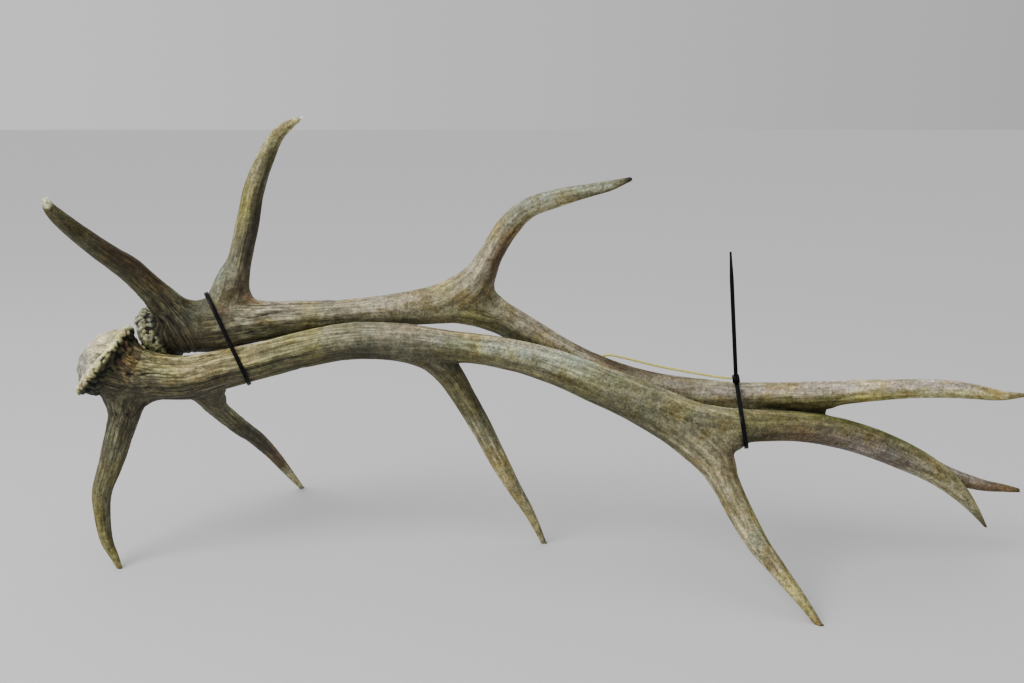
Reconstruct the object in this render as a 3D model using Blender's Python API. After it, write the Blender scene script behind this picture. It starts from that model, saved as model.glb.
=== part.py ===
"""A matched pair of elk antlers, laid back to back and bound with two cable ties.

The near antler stands on the tips of its four tines. The far antler lies on top of it and behind it,
with its tines pointing up. Each antler is one smooth skin round its spines, sawn at its main forks
into a beam and four tines, and its burr is fused on as beads. Lengths are millimetres until a mesh is
made. +Z is up, +X runs from the burrs to the ends of the beams and +Y goes away from the viewer.
"""

import math
import random

import bmesh
import bpy
import numpy as np

MM = 0.001
FOOTPRINT_MIDDLE = (51.2, 66.5, 0.0)  # of the spines' own frame: it becomes the origin

# Spines, from the burr or from inside the beam out to the tip: x, y, z and the radius there.
NEAR_SPINES = {
    "beam": [
        (-441, 30, 227, 35), (-427, 31, 221, 30), (-406, 33, 217, 25.5), (-368, 36, 214, 24.2),
        (-329, 38, 221.8, 22), (-283, 38, 232.5, 20.3), (-238, 38, 244.3, 20), (-181, 36, 255, 20.3),
        (-125, 34, 255, 19.5), (-69, 30, 251, 17.1), (-13, 25, 245, 17.1), (42, 18, 232, 19),
        (97, 10, 212, 20.5), (152, 2, 192, 20.5), (207, -5, 174, 19), (261, -9, 170, 17.5),
        (316, -9, 169, 16.2), (373, -5, 157.6, 16.6), (432, 3, 133.6, 15.5), (475, 11, 109.4, 12.9),
        (505, 17, 86, 10), (527, 22, 62, 5.5), (544, 26, 39.5, 1.5),
    ],
    "brow_tine": [
        (-372, 35, 216, 10), (-408, 33, 208, 18), (-432, 30, 195, 23), (-436.3, 28, 173, 17.7),
        (-444, 25, 147, 15.4), (-453.6, 20, 116, 13.5), (-463, 14, 86, 11.2), (-463, 9, 61, 9.3),
        (-458.4, 4, 32, 7.2), (-449.8, 1, 13, 4.9), (-443.8, 0, -2, 2.8),
    ],
    "bez_tine": [
        (-407, 38, 218, 9), (-371, 44, 208, 13.5), (-353.5, 62, 188, 13.3), (-345.5, 88, 163, 11.2),
        (-333.3, 122, 135, 10.4), (-317.8, 172, 99, 9.6), (-306.2, 215, 63, 7.6), (-294.8, 255, 25, 5.2),
        (-285, 280.5, -2, 2.9),
    ],
    "trez_tine": [
        (-170, 36, 255, 8), (-125, 35, 251, 14), (-92, 37, 238, 16), (-71, 41, 216, 14.9),
        (-53.7, 46, 186, 13.3), (-35.4, 53, 151, 12.1), (-16, 61, 109, 10.8), (3.2, 68, 71, 8.3),
        (22.5, 73, 36, 5.9), (39.6, 77, -3.5, 3.1),
    ],
    "royal_tine": [
        (86, 10, 213, 9), (141, 1, 189, 17.5), (188, -12, 161, 19), (220.4, -28, 136, 19.8),
        (229.8, -43, 117, 15.5), (243.6, -66, 89, 13.3), (258.3, -88, 64, 11.4), (277.2, -110, 42, 8.6),
        (295.5, -130, 21, 6), (313.8, -147.5, -3.5, 3.3),
    ],
    "fork_web": [(218, -16, 152, 14), (243, -18, 156, 10)],
    "bez_web": [(-337.8, 58, 195.3, 9.2), (-344.2, 64, 187.7, 10.2), (-343.7, 72, 178.4, 9.8)],
}
FAR_SPINES = {
    "beam": [
        (-400, 78, 257, 27), (-380, 72.5, 262, 28), (-346, 65, 267.6, 29.2), (-307, 60, 271.8, 25.4),
        (-262, 61, 276, 20.3), (-206, 68, 278, 17.6), (-150, 69, 282.8, 17.4), (-93, 64, 288.8, 18.7),
        (-59, 61, 290, 19.1), (-19, 60, 280, 18.5), (20, 58, 259, 17.5), (66, 54, 232, 17.5),
        (111, 54, 210, 19), (168, 47, 192, 20.3), (235, 36, 179.5, 20.8), (291, 30.5, 169, 19.3),
        (358, 29, 154, 16), (406, 32, 140, 14.4), (461, 38, 116, 12), (500, 44, 97, 9.7),
        (546, 51, 81.4, 6.6), (573, 54, 76.6, 4.5), (592, 56, 73, 2.5),
    ],
    "brow_tine": [
        (-335, 62, 268, 10), (-365, 60, 273, 16), (-388, 54, 293, 17.9), (-403, 44, 313.6, 15.5),
        (-419, 28, 336.6, 14.1), (-439, 8, 358.6, 11.8), (-457, -12, 380.4, 10.2), (-469, -32, 399.4, 8.3),
        (-474, -46, 412, 6.1), (-474, -54, 420, 4.4),
    ],
    "bez_tine": [
        (-358, 60, 273, 9), (-330, 60, 283, 14.5), (-318, 64, 306, 16.2), (-309.8, 71, 336, 13.5),
        (-300.2, 82, 379, 13.2), (-293.6, 95, 419, 12), (-281.6, 107, 454, 10.2), (-268, 115, 480, 7.8),
        (-254, 120, 492, 5.4), (-240, 123, 499, 1.6),
    ],
    "trez_tine": [
        (-144, 62, 284, 8), (-98, 60, 293, 15.6), (-66.5, 56, 304, 18.7), (-40.5, 50, 322, 17.9),
        (-23.3, 42, 352, 13.4), (-5.6, 32, 382, 12.7), (17.2, 20, 405, 11.1), (47.5, 6, 417.4, 9.8),
        (82, -10, 427.2, 6.9), (104, -20, 433.4, 5.3), (122.5, -28, 440.2, 2.4),
    ],
    "royal_tine": [
        (145, 43, 202, 10), (195, 36, 195, 16), (250, 28, 196, 13.5), (304, 19, 199, 13),
        (353, 7, 203, 13.3), (391, -6, 209, 12.4), (429, -22, 215, 10.6), (461, -38, 219, 9.7),
        (487, -54, 220, 8), (507, -69, 220, 5.4), (530, -85, 224.5, 1.6),
    ],
    "fork_web": [(291, 29, 182, 9), (325, 24, 180, 7.5), (343.5, 19.5, 179.5, 5.2)],
    "royal_web": [(330, 14, 192, 5.5), (352, 9, 192.5, 4.5)],
    "bez_web": [(-316, 62, 294, 12), (-306, 62, 297.5, 9.5)],
    "heel_web": [(-327.9, 60, 300, 12.3), (-323.7, 62, 309.8, 12.8), (-318.6, 66, 322.6, 12.3)],
    "trez_web": [(-34, 52, 308, 12), (-28.5, 54, 302, 10.4), (-21, 56, 295, 9)],
}

# Each burr is a ring of beads round the foot of its beam, with a smaller row and a swollen collar
# behind it and low knobs in front of it over the seal, whose dome is a share of the radius high.
NEAR_BURR = {"middle": (-454.5, 30, 235), "faces": (-0.757, -0.08, 0.653), "radius": 43, "dome": 0.47}
FAR_BURR = {"middle": (-408, 78, 250), "faces": (-0.9, 0.1, -0.42), "radius": 34, "dome": 0.28}
RING_RADIUS = 6.5  # of the solid ring under the beads
RING_SPHERES = 72
COLLAR_RADIUS = 9.0
COLLAR_INSET = 12.0
BURR_BEADS = 32
BEAD_RADII = (3.4, 5.4)
BACK_ROW_SHARE = 0.75  # of a bead's size
BACK_ROW_INSET = 5.0
BACK_ROW_OFFSET = -6.5
SEAL_KNOBS = 14
SEAL_RADII = (5.5, 7.0)
SEAL_REACH = 0.7  # of the burr's radius
GOLDEN_TURN = 2.4
BEAD_GAP = 2.4  # between the beads and the other antler

# Where each tine is sawn off, as a share of the way along its spine.
NEAR_CUTS = {"brow_tine": 0.40, "bez_tine": 0.30, "trez_tine": 0.38, "royal_tine": 0.50}
FAR_CUTS = {"brow_tine": 0.45, "bez_tine": 0.36, "trez_tine": 0.36, "royal_tine": 0.56}
SAW_KERF = 0.35
SAW_SPAN = 3.4  # of the tine's radius there: wide enough for the tine, clear of its neighbours

SPINE_STEP = 2.0
FORK_BLEND = 5.0  # how far two branches flow into each other
BEAD_BLEND = 1.6
ROUGH_SKIN = 4.0  # the first skin lies this far outside the true one
ROUGH_VOXEL = 4.0
FINE_VOXEL = 3.0
SETTLING_STEPS = 6
POINTS_AT_ONCE = 4096
TUBE_SIDES = 16
DISC_STATIONS = [(-9.0, -6.0), (-3.0, 0.0), (3.0, 0.0), (9.0, -6.0)]  # along the burr's way, more reach
FLUTES = 9
FLUTE_DEPTH = 0.9
FLUTE_PITCH = 60.0
ANTLER_TRIANGLES = 3600
SHARP_FROM = math.radians(50)

# Cable ties: the point that a loop is drawn round, the way along the bundle there and the loop's reach.
BURR_END_TIE = {"middle": (-317, 46, 248), "along": (0.883, 0.290, 0.370), "reach": 84, "head_at": 325}
FORK_END_TIE = {"middle": (255, 14, 180), "along": (0.973, -0.142, 0.183), "reach": 66, "head_at": 75}
STRAP_WIDTH = 4.8
STRAP_THICKNESS = 1.3
STRAP_CLEARANCE = 1.6
STRAP_RAYS = 180
RAY_STEPS = 60
LOOP_SAMPLES = 360
STRAP_POINTS = 40
STRAP_SMOOTHING = 8
HEAD_SIZE = (8.2, 8.6, 7.6)  # along the bundle, along the strap and out from the antlers
HEAD_SLOPES = ((0.0, 0.86), (0.14, 1.0), (0.86, 1.0), (1.0, 0.86))  # share of its height, of its size
TAIL_WIDTH = 4.5
TAIL_END_WIDTH = 2.4
TAIL_THICKNESS = 1.2
LONG_TAIL = 143.0
SHORT_TAIL = 7.0
TAIL_TAPER = 34.0

# The thin string runs from the fork end tie over the far beam's shoulder and hangs behind it.
STRING_DIAMETER = 2.6
STRING_STEP = 4.4
STRING_ROUTE = [
    (246.5, 31, 213.7), (233.8, 34, 214.3), (212.2, 40, 216.6), (190.3, 46, 219.4), (168.2, 51, 222.6),
    (146, 57, 226.8), (125.8, 62, 230.8), (110, 68, 232.2), (99, 75, 226), (95, 79, 212), (94, 79.5, 194),
]

BONE = (0.33, 0.29, 0.19)
TIP_BONE = (0.48, 0.42, 0.28)
NYLON = (0.012, 0.012, 0.014)
YELLOW = (0.62, 0.55, 0.16)


def clear_scene():
    for thing in list(bpy.context.scene.objects):
        bpy.data.objects.remove(thing, do_unlink=True)


def principled(name, colour, roughness):
    made = bpy.data.materials.new(name)
    made.use_nodes = True
    shader = made.node_tree.nodes["Principled BSDF"]
    shader.inputs["Base Color"].default_value = (*colour, 1.0)
    shader.inputs["Roughness"].default_value = roughness
    shader.inputs["Metallic"].default_value = 0.0
    made.diffuse_color = (*colour, 1.0)
    return made


def unit(vector):
    vector = np.asarray(vector, float)
    return vector / np.linalg.norm(vector)


# --- the skin round the spines ---------------------------------------------------------------------


def smooth_curve(points, step):
    """Samples about `step` apart on the centripetal Catmull-Rom curve through `points`."""
    knots = np.asarray(points, float)
    knots = np.vstack([2 * knots[0] - knots[1], knots, 2 * knots[-1] - knots[-2]])
    samples = []
    for a, b, c, d in zip(knots, knots[1:], knots[2:], knots[3:]):
        t1 = np.linalg.norm((b - a)[:3]) ** 0.5
        t2 = t1 + np.linalg.norm((c - b)[:3]) ** 0.5
        t3 = t2 + np.linalg.norm((d - c)[:3]) ** 0.5
        count = max(2, round(np.linalg.norm((c - b)[:3]) / step))
        t = np.linspace(t1, t2, count, endpoint=False)[:, None]
        ab = ((t1 - t) * a + t * b) / t1
        bc = ((t2 - t) * b + (t - t1) * c) / (t2 - t1)
        cd = ((t3 - t) * c + (t - t2) * d) / (t3 - t2)
        abc = ((t2 - t) * ab + t * bc) / t2
        bcd = ((t3 - t) * bc + (t - t1) * cd) / (t3 - t1)
        samples.append(((t2 - t) * abc + (t - t1) * bcd) / (t2 - t1))
    samples.append(knots[-2][None, :])
    return np.vstack(samples)


def nearest_sphere(points, spheres):
    """For each point, the sphere whose surface is nearest, how far off it is and the way out of it."""
    centres, radii = spheres[:, :3], spheres[:, 3]
    nearest = np.empty(len(points), int)
    for start in range(0, len(points), POINTS_AT_ONCE):
        block = points[start : start + POINTS_AT_ONCE]
        square = (block**2).sum(1)[:, None] + (centres**2).sum(1) - 2 * block @ centres.T
        nearest[start : start + POINTS_AT_ONCE] = (np.sqrt(np.maximum(square, 0)) - radii).argmin(1)
    away = points - centres[nearest]
    length = np.maximum(np.linalg.norm(away, axis=1), 1e-9)
    return nearest, length - radii[nearest], away / length[:, None]


def blended(distances, ways_out, blend):
    """The smooth union of several distances, with the way out of it."""
    distances = np.array(distances)
    lowest = distances.min(0)
    weights = np.exp((lowest - distances) / blend)
    total = weights.sum(0)
    way_out = ((weights / total)[:, :, None] * np.array(ways_out)).sum(0)
    return lowest - blend * np.log(total), way_out


def skin_distance(points, antler):
    found = [nearest_sphere(points, spheres)[1:] for spheres in antler["branches"].values()]
    bone, bone_out = blended([f[0] for f in found], [f[1] for f in found], FORK_BLEND)
    _, bead, bead_out = nearest_sphere(points, antler["beads"])
    return blended([bone, bead], [bone_out, bead_out], BEAD_BLEND)


def settled(points, antler):
    """The points moved along the ways out until they lie on the skin."""
    for _ in range(SETTLING_STEPS):
        distance, out = skin_distance(points, antler)
        points = points - (distance / np.maximum((out**2).sum(1), 0.25))[:, None] * out
    return points


def carried_axes(spheres):
    """Two axes across a spine, carried along it without twist, and the length run so far."""
    tangents = np.gradient(spheres[:, :3], axis=0)
    tangents /= np.linalg.norm(tangents, axis=1)[:, None]
    side = unit(np.cross(tangents[0], (0.0, 1.0, 0.3)))
    sides = []
    for tangent in tangents:
        side = unit(side - tangent * (side @ tangent))
        sides.append(side)
    steps = np.linalg.norm(np.diff(spheres[:, :3], axis=0), axis=1)
    run = np.concatenate([[0.0], np.cumsum(steps)])
    return np.array(sides), np.cross(tangents, sides), run


def flutes(points, antler):
    """Heights of the broad lengthwise flutes, deepest near the burr."""
    heights, distances = [], []
    for spheres in antler["branches"].values():
        nearest, distance, _ = nearest_sphere(points, spheres)
        side, up, run = carried_axes(spheres)
        away = points - spheres[nearest, :3]
        angle = np.arctan2((away * up[nearest]).sum(1), (away * side[nearest]).sum(1))
        slim = np.clip(spheres[nearest, 3] / 22.0, 0.0, 1.0)
        heights.append(FLUTE_DEPTH * slim * np.cos(FLUTES * angle + run[nearest] / FLUTE_PITCH))
        distances.append(distance)
    weights = np.exp((np.min(distances, axis=0) - np.array(distances)) / FORK_BLEND)
    return (weights * np.array(heights)).sum(0) / weights.sum(0)


def burr_beads(burr, dice):
    """The ring, its beads, a smaller row behind them and low knobs over the seal, all as spheres."""
    middle, faces = np.array(burr["middle"], float), unit(burr["faces"])
    side = unit(np.cross(faces, (0.0, 1.0, 0.0)))
    up = np.cross(faces, side)
    radius = burr["radius"]
    spheres = []

    def add(angle, reach, forward, size):
        place = middle + faces * forward + (side * math.cos(angle) + up * math.sin(angle)) * reach
        spheres.append((*place, size))

    for step in range(RING_SPHERES):
        angle = step / RING_SPHERES * math.tau
        add(angle, radius - RING_RADIUS / 2, 0.0, RING_RADIUS)
        add(angle, radius - COLLAR_INSET, -COLLAR_RADIUS, COLLAR_RADIUS)
    for step in range(BURR_BEADS):
        angle = (step + dice.uniform(-0.25, 0.25)) / BURR_BEADS * math.tau
        add(angle, radius + dice.uniform(-1.5, 1.0), dice.uniform(-2.0, 3.0), dice.uniform(*BEAD_RADII))
        small = dice.uniform(*BEAD_RADII) * BACK_ROW_SHARE
        half_step = math.pi / BURR_BEADS
        behind = BACK_ROW_OFFSET + dice.uniform(-1.5, 1.5)
        add(angle + half_step, radius - BACK_ROW_INSET, behind, small)
    for step in range(SEAL_KNOBS):
        share = math.sqrt((step + 0.5) / SEAL_KNOBS)
        dome = burr["dome"] * radius * math.sqrt(1.0 - 0.8 * share**2)
        add(step * GOLDEN_TURN, share * radius * SEAL_REACH, dome, dice.uniform(*SEAL_RADII))
    return np.array(spheres)


def antler_of(spines, burr, seed):
    """An antler's spheres, branch by branch, and its burr's beads, moved to the part's own frame."""
    moved = {name: smooth_curve(spine, SPINE_STEP) for name, spine in spines.items()}
    beads = burr_beads(burr, random.Random(seed))
    for spheres in (*moved.values(), beads):
        spheres[:, :3] -= FOOTPRINT_MIDDLE
    return {"branches": moved, "beads": beads}


def held_off(beads, antler):
    """Pushes beads back until they clear another antler."""
    distance, out = skin_distance(beads[:, :3], antler)
    short = np.maximum(beads[:, 3] + BEAD_GAP - distance, 0.0)
    beads[:, :3] += out / np.linalg.norm(out, axis=1)[:, None] * short[:, None]


# --- meshes ----------------------------------------------------------------------------------------


def object_of(name, vertices, faces, material):
    mesh = bpy.data.meshes.new(name)
    mesh.from_pydata([tuple(v) for v in np.asarray(vertices) * MM], [], faces)
    mesh.materials.append(material)
    made = bpy.data.objects.new(name, mesh)
    bpy.context.scene.collection.objects.link(made)
    return made


def applied(thing):
    """Replaces the object's mesh with what its modifiers make of it."""
    bpy.context.view_layer.update()
    graph = bpy.context.evaluated_depsgraph_get()
    made = bpy.data.meshes.new_from_object(thing.evaluated_get(graph))
    thing.modifiers.clear()
    thing.data = made


def points_of(mesh):
    flat = np.empty(len(mesh.vertices) * 3)
    mesh.vertices.foreach_get("co", flat)
    return flat.reshape(-1, 3) / MM


def move_points(mesh, points):
    mesh.vertices.foreach_set("co", (points * MM).ravel())
    mesh.update()


def tube(spheres, extra, sides):
    """Rings round a spine, with pointed ends, as vertices and faces."""
    side, up, _ = carried_axes(spheres)
    turns = np.arange(sides) / sides * math.tau
    ring = np.cos(turns)[:, None, None] * side + np.sin(turns)[:, None, None] * up
    walls = spheres[:, :3] + ring * (spheres[:, 3] + extra)[:, None]
    vertices = walls.transpose(1, 0, 2).reshape(-1, 3)
    last = len(vertices)
    ahead = unit(spheres[-1, :3] - spheres[-2, :3]) * (spheres[-1, 3] + extra)
    behind = unit(spheres[0, :3] - spheres[1, :3]) * (spheres[0, 3] + extra)
    vertices = np.vstack([vertices, spheres[0, :3] + behind, spheres[-1, :3] + ahead])
    faces = []
    for k in range(len(spheres) - 1):
        for i in range(sides):
            j = (i + 1) % sides
            faces.append((k * sides + i, k * sides + j, (k + 1) * sides + j, (k + 1) * sides + i))
    end = (len(spheres) - 1) * sides
    for i in range(sides):
        j = (i + 1) % sides
        faces.append((j, i, last))
        faces.append((end + i, end + j, last + 1))
    return vertices, faces


def rough_antler(name, antler, burr, material):
    """Fat tubes round every spine and a disc for the burr, all overlapping."""
    middle = np.array(burr["middle"], float) - FOOTPRINT_MIDDLE
    faces_way, reach = unit(burr["faces"]), burr["radius"] + RING_RADIUS
    disc = np.array([(*(middle + faces_way * along), reach + more) for along, more in DISC_STATIONS])
    vertices, faces = np.empty((0, 3)), []
    for spheres in (*(b[::4] for b in antler["branches"].values()), disc):
        points, quads = tube(spheres, ROUGH_SKIN, TUBE_SIDES)
        faces += [tuple(i + len(vertices) for i in quad) for quad in quads]
        vertices = np.vstack([vertices, points])
    return object_of(name, vertices, faces, material)


def remeshed(thing, voxel):
    remesh = thing.modifiers.new("Skin", "REMESH")
    remesh.mode = "VOXEL"
    remesh.voxel_size = voxel * MM
    applied(thing)


def decimate_to(thing, triangles):
    count = sum(len(face.vertices) - 2 for face in thing.data.polygons)
    decimate = thing.modifiers.new("Fewer faces", "DECIMATE")
    decimate.ratio = triangles / count
    applied(thing)


def stand_on_flats(thing):
    """Cuts the tips that pass below the surface it stands on, flat at z = 0."""
    work = bmesh.new()
    work.from_mesh(thing.data)
    everything = work.verts[:] + work.edges[:] + work.faces[:]
    cut = bmesh.ops.bisect_plane(
        work, geom=everything, plane_co=(0, 0, 0), plane_no=(0, 0, -1), clear_outer=True
    )
    rim = [edge for edge in cut["geom_cut"] if isinstance(edge, bmesh.types.BMEdge)]
    bmesh.ops.holes_fill(work, edges=rim)
    bmesh.ops.recalc_face_normals(work, faces=work.faces)
    work.to_mesh(thing.data)
    work.free()


def saw(name, spheres, share):
    """A thin slab across a spine."""
    at = round(share * (len(spheres) - 1))
    middle, way = spheres[at, :3], unit(spheres[at + 2, :3] - spheres[at - 2, :3])
    side = unit(np.cross(way, (0.0, 1.0, 0.2)))
    up = np.cross(way, side)
    span = SAW_SPAN * spheres[at, 3]
    corners = []
    for depth in (-0.5, 0.5):
        for a, b in ((-0.5, -0.5), (0.5, -0.5), (0.5, 0.5), (-0.5, 0.5)):
            corners.append(middle + way * depth * SAW_KERF + (side * a + up * b) * span)
    faces = [(3, 2, 1, 0), (4, 5, 6, 7)]
    faces += [(i, (i + 1) % 4, (i + 1) % 4 + 4, i + 4) for i in range(4)]
    blade = object_of(name, corners, faces, bpy.data.materials[0])
    blade.hide_render = True
    blade.display_type = "WIRE"
    return blade


def outward(thing):
    work = bmesh.new()
    work.from_mesh(thing.data)
    bmesh.ops.recalc_face_normals(work, faces=work.faces)
    work.to_mesh(thing.data)
    work.free()


def loose_parts(thing):
    """The separate bodies in a mesh, as lists of vertex indices, without stray triangles."""
    parent = list(range(len(thing.data.vertices)))

    def root(i):
        while parent[i] != i:
            parent[i] = parent[parent[i]]
            i = parent[i]
        return i

    for edge in thing.data.edges:
        a, b = root(edge.vertices[0]), root(edge.vertices[1])
        parent[a] = b
    bodies = {}
    for i in range(len(parent)):
        bodies.setdefault(root(i), []).append(i)
    return [body for body in bodies.values() if len(body) > 3]


def sawn_apart(thing, side, antler, cuts, materials):
    """Saws an antler at its main forks, and makes one object of each piece."""
    for name, share in cuts.items():
        blade = saw(f"saw_{side}_{name}", antler["branches"][name], share)
        outward(blade)
        cut = thing.modifiers.new(name, "BOOLEAN")
        cut.operation = "DIFFERENCE"
        cut.object = blade
    applied(thing)
    points = points_of(thing.data)
    bodies = loose_parts(thing)
    for name in ("beam", *cuts):
        tip = antler["branches"][name][-1, :3]
        body = min(bodies, key=lambda b: np.linalg.norm(points[b] - tip, axis=1).min())
        renumbered = {old: new for new, old in enumerate(body)}
        faces = []
        for polygon in thing.data.polygons:
            if polygon.vertices[0] in renumbered:
                faces.append(tuple(renumbered[i] for i in polygon.vertices))
        material = materials["beam" if name == "beam" else "tine"]
        piece = object_of(f"{side}_{name}", points[body], faces, material)
        piece.data.shade_smooth()
        piece.data.set_sharp_from_angle(angle=SHARP_FROM)
    bpy.data.objects.remove(thing)


def make_antler(side, antler, burr, cuts, materials):
    thing = rough_antler(side, antler, burr, materials["beam"])
    remeshed(thing, ROUGH_VOXEL)
    move_points(thing.data, settled(points_of(thing.data), antler))
    remeshed(thing, FINE_VOXEL)
    points = settled(points_of(thing.data), antler)
    _, out = skin_distance(points, antler)
    move_points(thing.data, points + out * flutes(points, antler)[:, None])
    decimate_to(thing, ANTLER_TRIANGLES)
    stand_on_flats(thing)
    sawn_apart(thing, side, antler, cuts, materials)


# --- cable ties and string -------------------------------------------------------------------------


def hull_of(flat):
    """The convex hull of points in a plane, anticlockwise."""
    ordered = sorted(map(tuple, flat))

    def half(points):
        chain = []
        for p in points:
            while len(chain) > 1:
                (ax, ay), (bx, by) = chain[-2], chain[-1]
                if (bx - ax) * (p[1] - ay) - (by - ay) * (p[0] - ax) > 0:
                    break
                chain.pop()
            chain.append(p)
        return chain[:-1]

    return np.array(half(ordered) + half(ordered[::-1]))


def strap_loop(tie, antlers):
    """Points and outward ways of the taut loop round both antlers, the first one at the head."""
    middle = np.array(tie["middle"], float) - FOOTPRINT_MIDDLE
    along = unit(tie["along"])
    side = unit(np.cross((0.0, 0.0, 1.0), along))
    up = np.cross(along, side)
    turns = np.arange(STRAP_RAYS) / STRAP_RAYS * math.tau
    flat = np.stack([np.cos(turns), np.sin(turns)], axis=1)
    rays = flat[:, :1] * side + flat[:, 1:] * up
    edges = np.outer((-0.5, 0.0, 0.5), along * STRAP_WIDTH)
    reach = np.full(STRAP_RAYS, float(tie["reach"]))
    for _ in range(RAY_STEPS):
        points = ((middle + rays * reach[:, None])[:, None, :] + edges).reshape(-1, 3)
        gaps = [skin_distance(points, antler)[0].reshape(-1, 3).min(1) for antler in antlers]
        reach = np.maximum(reach - np.maximum(np.min(gaps, axis=0), 0.0), 0.0)
    hull = hull_of(flat * reach[:, None])
    closed = np.vstack([hull, hull[:1]])
    run = np.concatenate([[0.0], np.cumsum(np.linalg.norm(np.diff(closed, axis=0), axis=1))])
    even = np.linspace(0, run[-1], LOOP_SAMPLES, endpoint=False)
    loop = np.stack([np.interp(even, run, closed[:, axis]) for axis in (0, 1)], axis=1)
    for _ in range(STRAP_SMOOTHING):
        loop = (np.roll(loop, 1, 0) + 2 * loop + np.roll(loop, -1, 0)) / 4
    ways = np.roll(loop, -1, 0) - np.roll(loop, 1, 0)
    ways = np.stack([ways[:, 1], -ways[:, 0]], axis=1) / np.linalg.norm(ways, axis=1)[:, None]
    loop += ways * (STRAP_CLEARANCE + STRAP_THICKNESS / 2)
    bearing = np.degrees(np.arctan2(loop[:, 1], loop[:, 0])) % 360
    first = np.abs((bearing - tie["head_at"] + 180) % 360 - 180).argmin()
    steps = np.round(np.arange(STRAP_POINTS) * LOOP_SAMPLES / STRAP_POINTS).astype(int)
    order = (first + steps) % LOOP_SAMPLES
    centres = middle + loop[order, :1] * side + loop[order, 1:] * up
    outs = ways[order, :1] * side + ways[order, 1:] * up
    return centres, outs, along


def prism(name, rings, material, closed=False):
    """Four-cornered rings joined in a row, with ends unless the row is closed."""
    vertices = np.array(rings).reshape(-1, 3)
    count = len(rings)
    faces = []
    for k in range(count if closed else count - 1):
        m = (k + 1) % count
        faces += [(k * 4 + i, k * 4 + (i + 1) % 4, m * 4 + (i + 1) % 4, m * 4 + i) for i in range(4)]
    if not closed:
        faces += [(3, 2, 1, 0), tuple(count * 4 - 4 + i for i in range(4))]
    made = object_of(name, vertices, faces, material)
    outward(made)
    return made


def section(middle, across, through, width, thickness):
    corners = ((-0.5, -0.5), (0.5, -0.5), (0.5, 0.5), (-0.5, 0.5))
    return [middle + across * a * width + through * b * thickness for a, b in corners]


def make_tie(name, tie, antlers, tail_length, tail_way, material):
    """A strap closed round the bundle, its head on the outside and its tail standing out of the head."""
    centres, outs, along = strap_loop(tie, antlers)
    rings = [section(c, along, o, STRAP_WIDTH, STRAP_THICKNESS) for c, o in zip(centres, outs)]
    strap = prism(name, rings, material, closed=True)
    out = outs[0]
    run = np.cross(along, out)
    length, width, height = HEAD_SIZE
    foot = centres[0] - out * STRAP_THICKNESS * 0.25
    floors = [
        section(foot + out * height * up, along, run, length * share, width * share)
        for up, share in HEAD_SLOPES
    ]
    head = prism(f"{name}_head", floors, material)
    way, across = unit(tail_way), along
    through = unit(np.cross(way, across))
    start = foot + out * height * 0.5
    stations = [(0.0, TAIL_WIDTH), (tail_length, TAIL_WIDTH)]
    if tail_length > TAIL_TAPER:
        stations = [(0.0, TAIL_WIDTH), (tail_length - TAIL_TAPER, TAIL_WIDTH), (tail_length, TAIL_END_WIDTH)]
    rings = [
        section(start + way * station, across, through, width, TAIL_THICKNESS)
        for station, width in stations
    ]
    tail = prism(f"{name}_tail", rings, material)
    for other in (head, tail):
        other.hide_render = True
        other.display_type = "WIRE"
        join = strap.modifiers.new(other.name, "BOOLEAN")
        join.operation = "UNION"
        join.object = other
    return strap


def make_string(material):
    route = np.array(STRING_ROUTE, float) - FOOTPRINT_MIDDLE
    points = smooth_curve(route, STRING_STEP)
    curve = bpy.data.curves.new("yellow_string", "CURVE")
    curve.dimensions = "3D"
    curve.bevel_depth = STRING_DIAMETER / 2 * MM
    curve.bevel_resolution = 2
    curve.use_fill_caps = True
    spline = curve.splines.new("POLY")
    spline.points.add(len(points) - 1)
    for point, place in zip(spline.points, points):
        point.co = (*(place * MM), 1.0)
    curve.materials.append(material)
    made = bpy.data.objects.new("yellow_string", curve)
    bpy.context.scene.collection.objects.link(made)
    return made


def main():
    clear_scene()
    materials = {
        "beam": principled("antler_bone", BONE, 0.75),
        "tine": principled("tine_bone", TIP_BONE, 0.6),
    }
    nylon = principled("black_nylon", NYLON, 0.35)
    near = antler_of(NEAR_SPINES, NEAR_BURR, seed=7)
    far = antler_of(FAR_SPINES, FAR_BURR, seed=11)
    for _ in range(2):
        held_off(near["beads"], far)
        held_off(far["beads"], near)
    make_antler("near", near, NEAR_BURR, NEAR_CUTS, materials)
    make_antler("far", far, FAR_BURR, FAR_CUTS, materials)
    make_tie("burr_end_tie", BURR_END_TIE, (near, far), SHORT_TAIL, (0, -0.3, -1), nylon)
    make_tie("fork_end_tie", FORK_END_TIE, (near, far), LONG_TAIL, (-0.08, 0, 1), nylon)
    make_string(principled("yellow_string", YELLOW, 0.8))


main()
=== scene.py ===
import itertools
import math
import random

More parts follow.
